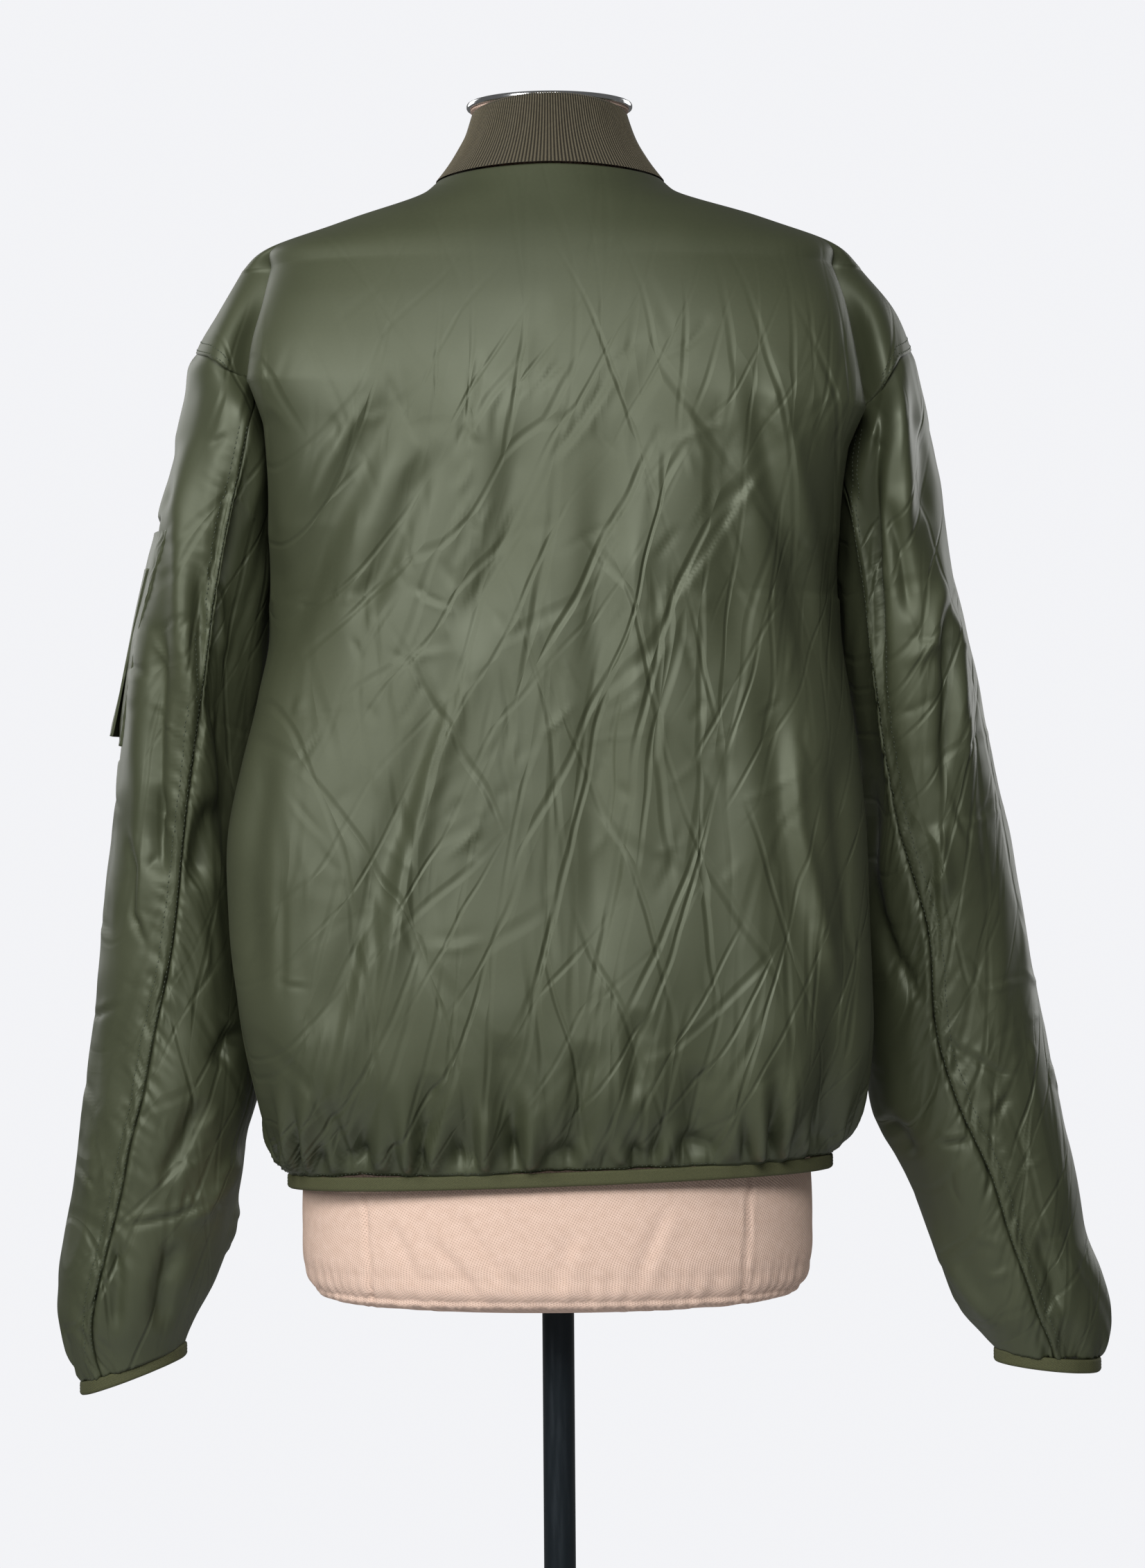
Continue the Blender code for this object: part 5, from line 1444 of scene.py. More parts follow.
def back_creases() -> list[Crease]:
    """The folds of the back, as the photo shows them."""
    soft = [
        Crease(((-0.091, 1.364), (-0.156, 1.240), (-0.195, 1.152)), 0.0145, 0.0060),
        Crease(((-0.120, 1.345), (-0.166, 1.262)), 0.006, -0.002),
        Crease(((-0.075, 1.315), (-0.105, 1.245), (-0.1325, 1.1865)), 0.0105, 0.0055),
        Crease(((-0.0155, 1.3415), (-0.032, 1.2446), (-0.060, 1.1725)), 0.0130, 0.0045),
        Crease(((0.034, 1.330), (0.032, 1.250), (0.0285, 1.100), (0.029, 0.950)), 0.0140, 0.0042, fade=0.25),
        Crease(((0.053, 1.290), (0.052, 1.120), (0.049, 0.980)), 0.0120, -0.0022),
        Crease(((0.130, 1.373), (0.143, 1.292), (0.164, 1.211), (0.171, 1.148)), 0.0110, 0.0055),
        Crease(((0.138, 1.362), (0.156, 1.308), (0.172, 1.238), (0.182, 1.171)), 0.0080, -0.0034),
        Crease(((0.092, 1.360), (0.113, 1.3055), (0.118, 1.238), (0.122, 1.150)), 0.0160, 0.0042),
        Crease(((-0.045, 1.180), (-0.076, 1.105), (-0.096, 1.030), (-0.112, 0.930)), 0.0080, -0.0050),
        Crease(((-0.062, 1.175), (-0.100, 1.070), (-0.130, 0.985), (-0.155, 0.900)), 0.0110, 0.0046),
        Crease(((-0.144, 0.9505), (-0.166, 0.852)), 0.0035, -0.0022),
        Crease(((-0.117, 1.000), (-0.135, 0.920), (-0.150, 0.870)), 0.0070, -0.0030),
        Crease(((-0.176, 1.031), (-0.178, 0.948)), 0.0040, 0.0016),
        Crease(((0.1545, 1.138), (0.159, 1.061), (0.178, 0.984), (0.189, 0.930)), 0.0060, -0.0036),
        Crease(((0.185, 1.120), (0.190, 1.040), (0.196, 0.960)), 0.0080, 0.0050),
        Crease(((0.140, 1.180), (0.150, 1.060), (0.165, 0.960)), 0.0120, 0.0045),
        Crease(((0.021, 0.925), (0.012, 0.850)), 0.0075, 0.0060),
        Crease(((0.053, 0.946), (0.051, 0.880)), 0.0070, 0.0050),
        Crease(((-0.079, 0.905), (-0.085, 0.850)), 0.0080, 0.0050),
        Crease(((-0.030, 0.930), (-0.040, 0.870)), 0.0090, 0.0035),
        Crease(((0.095, 0.910), (0.088, 0.860)), 0.0090, 0.0040),
        Crease(((-0.185, 1.150), (-0.200, 1.030), (-0.196, 0.930)), 0.0110, 0.0045),
    ]
    sharp = [
        Crease(((-0.168, 1.406), (-0.110, 1.271)), 0.0022, 0.0006, CreaseKind.SHARP),
        Crease(((-0.109, 1.360), (-0.085, 1.309)), 0.0026, 0.0009, CreaseKind.SHARP),
        Crease(((-0.042, 1.373), (-0.0587, 1.295)), 0.0040, 0.0017, CreaseKind.LAPPED),
        Crease(((0.0116, 1.3645), (-0.010, 1.343)), 0.0030, 0.0009, CreaseKind.LAPPED),
        Crease(((0.046, 1.3615), (0.023, 1.325), (0.000, 1.295)), 0.0036, 0.0014, CreaseKind.LAPPED),
        Crease(((0.105, 1.396), (0.0836, 1.364)), 0.0030, 0.0008, CreaseKind.SHARP),
        Crease(((0.062, 1.383), (0.030, 1.351)), 0.0030, 0.0008, CreaseKind.SHARP),
        Crease(((0.137, 1.294), (0.103, 1.240), (0.064, 1.192)), 0.0036, 0.0016, CreaseKind.LAPPED),
        Crease(((0.080, 1.222), (0.064, 1.187)), 0.0030, -0.0014, CreaseKind.SHARP),
        Crease(((0.0028, 1.0706), (-0.002, 1.020), (0.002, 0.966)), 0.0028, 0.0013, CreaseKind.LAPPED),
        Crease(((-0.205, 1.137), (-0.124, 1.137)), 0.0022, 0.0006, CreaseKind.SHARP),
        Crease(((-0.030, 1.170), (-0.025, 1.130), (-0.030, 1.095)), 0.0030, 0.0012, CreaseKind.LAPPED),
        Crease(((0.098, 1.145), (0.090, 1.128)), 0.0030, 0.0012, CreaseKind.SHARP),
        Crease(((0.069, 1.135), (0.066, 1.100)), 0.0030, 0.0015, CreaseKind.LAPPED),
        Crease(((-0.138, 1.205), (-0.120, 1.235)), 0.0030, -0.0012, CreaseKind.SHARP),
        Crease(((-0.060, 1.200), (-0.035, 1.245), (-0.020, 1.280)), 0.0030, 0.0012, CreaseKind.LAPPED),
        Crease(((-0.100, 1.130), (-0.085, 1.160)), 0.0030, 0.0011, CreaseKind.LAPPED),
        Crease(((-0.048, 1.060), (-0.052, 1.040)), 0.0026, 0.0010, CreaseKind.SHARP),
    ]
    strewn = scattered(90, (-0.17, 1.02, 0.15, 1.34), (0.015, 0.060), 0.0026, 0.0010, (62, 70, 118, 95), 11)
    strewn += scattered(50, (-0.19, 0.90, 0.19, 1.36), (0.020, 0.070), 0.0032, 0.0009, (80, 60, 110, 15), 12)
    return soft + sharp + strewn


def front_creases(side: Side) -> list[Crease]:
    """The folds of a front, of the back's kind, on the side that the photo hides.

    Args:
        side: Which front.

    Returns:
        The folds.
    """
    way = side.value
    soft = [
        Crease(((way * 0.150, 1.350), (way * 0.128, 1.270), (way * 0.110, 1.190)), 0.0130, 0.0075),
        Crease(((way * 0.120, 1.300), (way * 0.100, 1.200)), 0.0080, -0.0035),
        Crease(((way * 0.080, 1.280), (way * 0.066, 1.160), (way * 0.060, 1.040)), 0.0120, 0.0055),
        Crease(((way * 0.045, 1.180), (way * 0.042, 1.000)), 0.0085, -0.0030),
        Crease(((way * 0.142, 1.130), (way * 0.152, 1.020), (way * 0.155, 0.930)), 0.0120, 0.0060),
        Crease(((way * 0.115, 1.080), (way * 0.120, 0.950)), 0.0080, -0.0036),
        Crease(((way * 0.172, 1.190), (way * 0.185, 1.060)), 0.0095, 0.0050),
        Crease(((way * 0.064, 0.915), (way * 0.068, 0.852)), 0.0080, 0.0050),
        Crease(((way * 0.030, 0.930), (way * 0.034, 0.860)), 0.0080, 0.0040),
        Crease(((way * 0.110, 0.905), (way * 0.118, 0.855)), 0.0085, 0.0045),
    ]
    low, high = sorted((way * 0.02, way * 0.17))
    strewn = scattered(60, (low, 0.95, high, 1.33), (0.015, 0.060), 0.0028, 0.0009, (65, 110, 90), 21 + way)
    return soft + strewn


# ---------------------------------------------------------------- the sleeves


@dataclass
class SleevePanel:
    """An outer or an under sleeve panel."""

    side: Side
    upper: bool
    creases: list[Crease]
    gathers: list[Gathers]
    columns: int = 130
    rows: int = 300
    tuck: float = 0.0012
    relief: float = 1.5

    def make(self, wardrobe: Wardrobe, flat: tuple[float, float], area: float) -> bpy.types.Object:
        """The finished panel.

        Args:
            wardrobe: The materials.
            flat: Width and length of the cut; not used.
            area: The cut's flat area; not used.

        Returns:
            The object.
        """
        form = SLEEVES[self.side]
        name = ("upper" if self.upper else "under") + "_sleeve_" + self.side.name.lower()
        across, down = np.meshgrid(np.linspace(0, 1, self.columns + 1), np.linspace(0, 1, self.rows + 1))
        turn, height = form.place(self.upper, across, down, 0.0022)
        points = form.point(turn, height)
        normals = form.normal(turn, height)
        width = metres_along(points, 1)
        length = metres_along(points, 0)
        points = points - normals * (self.tuck * (1 - smoothstep(0.0, 0.010, length)))[..., None]
        cloth = Cloth(name + "_cloth")
        cloth.lay(points, width, length, np.minimum(width, width[:, -1:] - width))
        cloth.join(Vector())
        points, normals, wide, long = cloth.places()
        middle = 0.5 * (form.rings.at(points[:, 2], 1) + form.rings.at(points[:, 2], 2)) * self.side.value
        if ((points[:, 0] - middle) * normals[:, 0] + (points[:, 1] - 0.035) * normals[:, 1]).sum() < 0:
            bmesh.ops.reverse_faces(cloth.work, faces=cloth.work.faces[:])
            cloth.work.normal_update()
            points, normals, wide, long = cloth.places()
        self.press(cloth, form, points, normals, wide, long)
        cloth.turn_in(0.0026)
        obj = place_on(cloth.finish(wardrobe.nylon), "nylon", name)
        return obj

    def press(
        self, cloth: Cloth, form: SleeveForm, points: Array, normals: Array, wide: Array, long: Array
    ) -> None:
        """Presses the folds and the cuff's gathers in.

        Args:
            cloth: The laid panel.
            form: The sleeve's form.
            points: Its points.
            normals: Its outward normals.
            wide: Distances across.
            long: Distances down.
        """
        x, y, z = points[:, 0], points[:, 1], points[:, 2]
        back = smoothstep(-0.15, 0.35, -normals[:, 1])
        front = smoothstep(-0.15, 0.35, normals[:, 1])
        shift = np.zeros(len(x))
        for crease in self.creases:
            shift += self.relief * crease.shift(x, z) * back
            mirrored = Crease(
                tuple((px, pz - 0.035) for px, pz in crease.path), crease.width, crease.depth, crease.kind
            )
            shift += self.relief * mirrored.shift(x, z) * front
        edge = cloth.shades()
        calm = smoothstep(0.0, 0.016, long) * smoothstep(0.0, 0.008, edge)
        lower = smoothstep(0.0, 0.03, long.max() - long)
        shift *= calm * (0.3 + 0.7 * lower)
        seed = 71 + self.side.value + 3 * self.upper
        slack = calm * (0.4 + 0.6 * lower)
        shift += slack * 0.0030 * ripple(wide * 17 + 5, long * 2.6 + 2, seed)
        shift += slack * 0.0016 * ripple(wide * 30 + long * 11 + 5, long * 9 - wide * 5 + 20, seed + 5)
        shift += slack * 0.0007 * ripple(wide * 42 + 5, long * 34 + 2, seed + 9)
        for gathers in self.gathers:
            shift += gathers.shift(wide, long.max() - long) * smoothstep(0.0, 0.006, edge + 0.002)
        seam = np.exp(-edge / 0.010) * smoothstep(0.02, 0.06, long)
        pucker = 0.5 - np.abs(ripple(edge * 45 + 4, long * 120 + 2, seed + 12))
        shift -= 0.0050 * seam * pucker * smoothstep(-0.001, 0.004, edge)
        if self.upper:
            shift -= 0.0006 * smoothstep(0.0, 0.001, edge) * smoothstep(0.0095, 0.0085, edge)
        shift += 0.0013 * np.exp(-((edge / 0.0018) ** 2))
        turn = np.arctan2(-(y - 0.035), self.side.value * x - np.abs(middle_x(form, z)))
        if self.side is Side.LEFT and self.upper:
            spread = np.degrees(turn)
            pouch_edge = SleevePocket.edge.at(z, 1)
            under = smoothstep(1.106, 1.114, z) * smoothstep(1.274, 1.266, z)
            under *= smoothstep(pouch_edge + 8, pouch_edge + 3, spread) * smoothstep(-76.0, -70.0, spread)
            shift += under * (np.maximum(shift, 0.0014) - shift)
        moved = points - normals * shift[:, None]
        fold = np.radians(JACKET.fold_turn)
        outside = np.maximum(fold - np.abs(turn), 0.0) * 0.05
        away = np.hypot(long, outside)
        valley = np.exp(-((away / 0.0145) ** 2)) * smoothstep(
            JACKET.underarm_z - 0.005, JACKET.underarm_z + 0.045, z
        )
        moved[:, 1] += np.sign(0.035 - y) * 0.020 * valley
        cloth.move(moved)


def middle_x(form: SleeveForm, z: Array) -> Array:
    """The sleeve's middle at heights, as a distance from the jacket's centre."""
    return 0.5 * (form.rings.at(z, 1) + form.rings.at(z, 2))


def sleeve_creases(side: Side) -> list[Crease]:
    """The folds of a sleeve, as the photo shows them from behind.

    Args:
        side: Which sleeve.

    Returns:
        The folds, in x and z.
    """
    if side is Side.LEFT:
        soft = [
            Crease(((-0.204, 1.320), (-0.211, 1.230), (-0.213, 1.130), (-0.216, 1.020)), 0.0105, 0.0085),
            Crease(
                ((-0.243, 1.340), (-0.248, 1.277), (-0.247, 1.216), (-0.242, 1.156), (-0.240, 1.095)),
                0.0085, -0.0040,
            ),
            Crease(((-0.263, 1.216), (-0.267, 1.126), (-0.268, 1.020)), 0.0070, 0.0048),
            Crease(((-0.236, 1.247), (-0.235, 1.186), (-0.228, 1.126)), 0.0060, 0.0045),
            Crease(
                ((-0.208, 1.298), (-0.213, 1.246), (-0.219, 1.216), (-0.224, 1.168), (-0.219, 1.095)),
                0.0075, 0.0060,
            ),
            Crease(((-0.253, 1.328), (-0.259, 1.301), (-0.257, 1.271)), 0.0050, 0.0026),
            Crease(((-0.215, 1.231), (-0.212, 1.171)), 0.0050, -0.0030),
            Crease(((-0.267, 1.093), (-0.266, 1.057), (-0.262, 1.026)), 0.0065, 0.0045),
            Crease(((-0.241, 1.020), (-0.235, 1.056), (-0.225, 1.086)), 0.0090, 0.0060),
            Crease(((-0.208, 0.925), (-0.221, 0.918), (-0.230, 0.900)), 0.0060, 0.0045),
            Crease(
                ((-0.287, 1.063), (-0.280, 1.036), (-0.283, 1.006), (-0.271, 0.981)),
                0.0040, 0.0022, CreaseKind.LAPPED,
            ),
            Crease(
                ((-0.295, 0.796), (-0.279, 0.799), (-0.258, 0.803), (-0.233, 0.815)),
                0.0036, 0.0018, CreaseKind.LAPPED,
            ),
            Crease(((-0.252, 0.791), (-0.227, 0.821), (-0.212, 0.842)), 0.0070, -0.0036),
            Crease(((-0.266, 0.822), (-0.251, 0.852), (-0.237, 0.882)), 0.0060, 0.0040),
            Crease(((-0.303, 0.792), (-0.297, 0.756), (-0.300, 0.717)), 0.0060, 0.0036),
            Crease(((-0.272, 0.719), (-0.267, 0.755), (-0.255, 0.785)), 0.0065, 0.0042),
        ]
        box = (-0.33, 0.76, -0.20, 1.33)
    else:
        soft = [
            Crease(((0.206, 1.330), (0.206, 1.250), (0.210, 1.150), (0.214, 1.030)), 0.0100, 0.0070),
            Crease(
                ((0.222, 1.370), (0.221, 1.325), (0.209, 1.268), (0.206, 1.231), (0.212, 1.189), (0.222, 1.159)),
                0.0060, 0.0052,
            ),
            Crease(((0.234, 1.364), (0.231, 1.334), (0.235, 1.288), (0.233, 1.243)), 0.0070, -0.0040),
            Crease(((0.223, 1.280), (0.232, 1.243), (0.238, 1.195)), 0.0060, 0.0042),
            Crease(((0.262, 1.231), (0.253, 1.183), (0.234, 1.165)), 0.0055, -0.0030),
            Crease(((0.268, 1.216), (0.272, 1.182), (0.273, 1.137), (0.279, 1.092)), 0.0060, -0.0036),
            Crease(((0.262, 1.216), (0.266, 1.167), (0.264, 1.122), (0.261, 1.077)), 0.0055, 0.0042),
            Crease(((0.255, 1.062), (0.263, 1.011)), 0.0060, -0.0030),
            Crease(((0.251, 1.334), (0.253, 1.297), (0.252, 1.261)), 0.0060, 0.0030),
            Crease(
                ((0.258, 1.050), (0.256, 1.023), (0.258, 0.999), (0.259, 0.956)),
                0.0040, 0.0026, CreaseKind.LAPPED,
            ),
            Crease(
                ((0.210, 1.089), (0.211, 1.029), (0.217, 0.999), (0.225, 0.975), (0.242, 0.948), (0.258, 0.968)),
                0.0060, 0.0040,
            ),
            Crease(((0.274, 0.911), (0.299, 0.896), (0.311, 0.893)), 0.0040, 0.0022, CreaseKind.LAPPED),
            Crease(((0.290, 0.863), (0.305, 0.881)), 0.0040, 0.0020, CreaseKind.LAPPED),
            Crease(((0.263, 0.920), (0.274, 0.908)), 0.0036, 0.0018, CreaseKind.LAPPED),
            Crease(((0.257, 0.848), (0.269, 0.849), (0.281, 0.851)), 0.0036, 0.0020, CreaseKind.LAPPED),
            Crease(((0.221, 0.863), (0.233, 0.851), (0.242, 0.833)), 0.0055, 0.0036),
            Crease(((0.253, 0.800), (0.265, 0.764), (0.286, 0.733), (0.301, 0.715)), 0.0055, -0.0030),
            Crease(((0.326, 0.787), (0.334, 0.757), (0.340, 0.727)), 0.0060, 0.0036),
        ]
        box = (0.21, 0.76, 0.35, 1.33)
    return soft + scattered(70, box, (0.012, 0.050), 0.0028, 0.0011, (40, 75, 120, 150), 40 + side.value)


# ---------------------------------------------------------------- stitches


class Stitches:
    """Rows of small raised stitches along seams, gathered into one object."""

    def __init__(
        self, name: str, length: float = 0.0022, gap: float = 0.0012, width: float = 0.00075
    ) -> None:
        """Starts an empty row.

        Args:
            name: The object's name.
            length: A stitch's length.
            gap: The gap between two stitches.
            width: A stitch's width.
        """
        self.name = name
        self.length = length
        self.gap = gap
        self.width = width
        self.work = bmesh.new()
        self.count = 0

    def run(self, path: Array, surface: bpy.types.Object, lift: float = 0.0001) -> None:
        """Sews a row along a path, on the nearest place of a surface.

        Args:
            path: Points near the surface.
            surface: The cloth.
            lift: How far the thread stands off.
        """
        steps = np.linalg.norm(np.diff(path, axis=0), axis=1)
        total = float(steps.sum())
        count = max(int(total / (self.length + self.gap)), 2)
        places = resample(path, (np.arange(count) + 0.5) / count)
        ahead = resample(path, np.clip((np.arange(count) + 0.9) / count, 0.0, 1.0))
        for place, after in zip(places, ahead):
            found, point, normal, _ = surface.closest_point_on_mesh(Vector(place))
            if not found or (point - Vector(place)).length > 0.02:
                continue
            along = Vector(after) - Vector(place)
            along -= normal * along.dot(normal)
            if along.length < 1e-6:
                continue
            along.normalize()
            side = normal.cross(along)
            turn = Matrix((along, side, normal)).transposed().to_4x4()
            size = Matrix.Diagonal((self.length * 0.5, self.width * 0.5, self.width * 0.4, 1.0))
            where = Matrix.Translation(point + normal * lift)
            bmesh.ops.create_icosphere(self.work, subdivisions=1, radius=1.0, matrix=where @ turn @ size)
            self.count += 1

    def finish(self, material: bpy.types.Material, slot: str) -> bpy.types.Object:
        """The rows as one object on the jacket's body.

        Args:
            material: The thread.
            slot: A material slot's name, passed on to place_on, which does not use it.

        Returns:
            The object.
        """
        mesh = bpy.data.meshes.new(self.name)
        for face in self.work.faces:
            face.smooth = True
        self.work.to_mesh(mesh)
        self.work.free()
        mesh.materials.append(material)
        obj = bpy.data.objects.new(self.name, mesh)
        bpy.context.scene.collection.objects.link(obj)
        return place_on(obj, slot)


# ---------------------------------------------------------------- collar, bindings, pocket and zip


@dataclass
class RibCollar:
    """The rib-knit stand collar, its ribs upright and its top edge rolled inwards."""

    ribs: int = 190
    samples: int = 6
    rows: int = 20
    rib_height: float = 0.0009
    top_half_width: float = 0.0520
    top_back_y: float = -0.0605
    top_front_y: float = 0.066
    top_back_z: float = 1.5465
    top_side_z: float = 1.5415
    top_front_z: float = 1.484
    ends: float = 176.6
    wall: float = 0.003
    lift: float = 0.0009

    def loop(self, share: Array, turn: Array) -> Array:
        """The collar's outside.

        Args:
            share: 0 at the seam and 1 at the top.
            turn: Degrees from the back's centre.

        Returns:
            Points.
        """
        sine = np.sin(np.radians(turn))
        cosine = np.cos(np.radians(turn))
        back = cosine >= 0
        base = np.stack([
            JACKET.neck_half_width * sine,
            np.where(back, -0.068 * cosine, -JACKET.neck_front_y * cosine),
            JACKET.neck_side_z + np.where(
                back, JACKET.neck_back_z - JACKET.neck_side_z, JACKET.neck_front_z - JACKET.neck_side_z
            ) * cosine**2,
        ], axis=-1)
        top = np.stack([
            self.top_half_width * sine,
            np.where(back, self.top_back_y * cosine, -self.top_front_y * cosine),
            self.top_side_z + np.where(
                back, self.top_back_z - self.top_side_z, self.top_front_z - self.top_side_z
            ) * cosine**2,
        ], axis=-1)
        hollow = -0.0035 * np.sin(math.pi * share)
        out = np.stack([sine, -cosine, np.zeros_like(sine)], axis=-1)
        return base + (top - base) * share[..., None] + out * hollow[..., None]

    def make(self, wardrobe: Wardrobe) -> bpy.types.Object:
        """The finished collar.

        Args:
            wardrobe: The materials.

        Returns:
            The object.
        """
        columns = self.ribs * self.samples
        turn = np.linspace(-self.ends, self.ends, columns + 1)
        phase = 2 * math.pi * self.ribs * (np.arange(columns + 1) / columns)
        wave = 0.5 + 0.5 * np.cos(phase)
        ridge = wave**0.6
        out = np.stack(
            [np.sin(np.radians(turn)), -np.cos(np.radians(turn)), np.full_like(turn, 0.15)], axis=-1
        )
        rows = []
        # grooves holds each point's share of the painted shade that the rib-knit finish puts between the ribs.
        grooves = []
        for share in np.linspace(0.0, 1.0, self.rows):
            point = self.loop(np.full_like(turn, share), turn)
            lean = turn + 0.35 * np.sin(6.0 * share + turn * 0.05)
            sway = 0.0006 * ripple(lean * 0.12 + 20, np.full_like(turn, share * 2.2 + 3), 5)
            lifted = self.rib_height * ridge + sway * math.sin(math.pi * share)
            rows.append(point + out * lifted[:, None])
            grooves.append(1 - smoothstep(0.10, 0.80, wave))
        up = np.array([0.0, 0.0, 1.0])
        for angle in np.linspace(20, 160, 7):
            point = self.loop(np.ones_like(turn), turn)
            swing = math.radians(angle)
            centre = point - out * (0.5 * self.wall)
            lifted = self.rib_height * ridge * 0.8
            reach = 0.5 * self.wall * math.cos(swing)
            rise = (0.5 * self.wall) * math.sin(swing)
            rows.append(centre + out * (reach + lifted * math.cos(swing))[:, None]
                        + up * (rise + lifted * math.sin(swing))[:, None])
            grooves.append(1 - smoothstep(0.10, 0.80, wave))
        for share in (0.92, 0.75, 0.5, 0.25, 0.05):
            point = self.loop(np.full_like(turn, share), turn)
            rows.append(point - out * self.wall)
            grooves.append(1 - smoothstep(0.10, 0.80, wave))
        grid = np.stack(rows)
        grid[..., 2] += self.lift
        cloth = Cloth("collar_knit")
        cloth.lay(grid, metres_along(grid, 1), metres_along(grid, 0), np.stack(grooves))
        cloth.join(Vector())
        points, normals, _, _ = cloth.places()
        outside = (normals[:, 0] * points[:, 0] + normals[:, 1] * points[:, 1])[points[:, 2] < 1.53]
        if outside.sum() < 0:
            bmesh.ops.reverse_faces(cloth.work, faces=cloth.work.faces[:])
        obj = place_on(cloth.finish(wardrobe.knit), "rib_knit", "collar")
        return obj


@dataclass
class Binding:
    """A narrow ribbed elastic binding that hangs from the edge of gathered cloth."""

    name: str
    node: str
    height: float = 0.0085
    wall: float = 0.0026
    gap: float = 0.0004

    def section(self) -> tuple[tuple[float, float], ...]:
        """The binding's section, as outwards and downwards sizes."""
        h, w = self.height, self.wall
        return (
            (-0.0016, -0.0006), (-0.0002, -0.0009), (0.0007, -0.0003), (0.0010, 0.0006), (0.0009, 0.13 * h),
            (0.0011, 0.26 * h), (0.0009, 0.38 * h), (0.0011, 0.5 * h), (0.0009, 0.62 * h), (0.0011, 0.74 * h),
            (0.0008, 0.86 * h), (0.0003, 0.95 * h), (-0.0004, h), (-w + 0.0006, h), (-w, 0.93 * h),
            (-w, 0.5 * h), (-w, 0.0),
        )

    def make(
        self, wardrobe: Wardrobe, path: Array, normals: Array, flat: tuple[float, float], closed: bool
    ) -> bpy.types.Object:
        """The binding along a path.

        Args:
            wardrobe: The materials.
            path: Points of the cloth's edge.
            normals: Level outward directions.
            flat: Width and length of the cut; not used.
            closed: True for a ring.

        Returns:
            The object.
        """
        steps = np.linalg.norm(np.diff(path, axis=0), axis=1)
        along = np.concatenate([[0.0], np.cumsum(steps)])
        pulled = 0.0004 * ripple(along * 90, np.zeros_like(along) + 0.5, 8)
        rows = []
        for out, down in self.section():
            level = path + normals * (out + pulled * (1 if out > -0.001 else 0))[..., None]
            level = level.copy()
            level[:, 2] -= self.gap + down
            rows.append(level)
        grid = np.stack(rows)
        cloth = Cloth(self.name)
        cloth.lay(grid, np.broadcast_to(along, grid.shape[:2]), metres_along(grid, 0))
        if closed:
            cloth.join(Vector())
        cloth.work.normal_update()
        bmesh.ops.recalc_face_normals(cloth.work, faces=cloth.work.faces[:])
        obj = place_on(cloth.finish(wardrobe.binding), "elastic_binding", self.node)
        return obj


def hem_path(columns: int = 1500) -> tuple[Array, Array]:
    """The hem's outline from the zip round the back to the zip, with level outward directions.

    Args:
        columns: How many steps.

    Returns:
        Points and directions.
    """
    z = JACKET.hem_z
    path = np.concatenate([
        JACKET.half_path(Side.LEFT, z, z, Facing.FRONT),
        JACKET.half_path(Side.LEFT, z, z, Facing.BACK)[::-1][1:],
        JACKET.half_path(Side.RIGHT, z, z, Facing.BACK)[1:],
        JACKET.half_path(Side.RIGHT, z, z, Facing.FRONT)[::-1][1:],
    ])
    path = resample(JACKET.tilt_hem(path), np.linspace(0.0, 1.0, columns + 1))
    along = np.gradient(path, axis=0)
    normals = np.stack([along[:, 1], -along[:, 0], np.zeros(len(along))], axis=1)
    normals /= np.linalg.norm(normals, axis=1)[:, None]
    if ((path - path.mean(axis=0)) * normals).sum() < 0:
        normals = -normals
    return path, normals


def cuff_path(side: Side, columns: int = 420) -> tuple[Array, Array]:
    """The cuff's outline with level outward directions.

    Args:
        side: Which sleeve.
        columns: How many steps.

    Returns:
        Points and directions.
    """
    form = SLEEVES[side]
    turn = np.linspace(90.0, 450.0, columns + 1)
    height = form.cuff_height(turn)
    points = form.point(turn, height)
    normals = form.normal(turn, height)
    normals[:, 2] = 0.0
    normals /= np.linalg.norm(normals, axis=1)[:, None]
    return points, normals


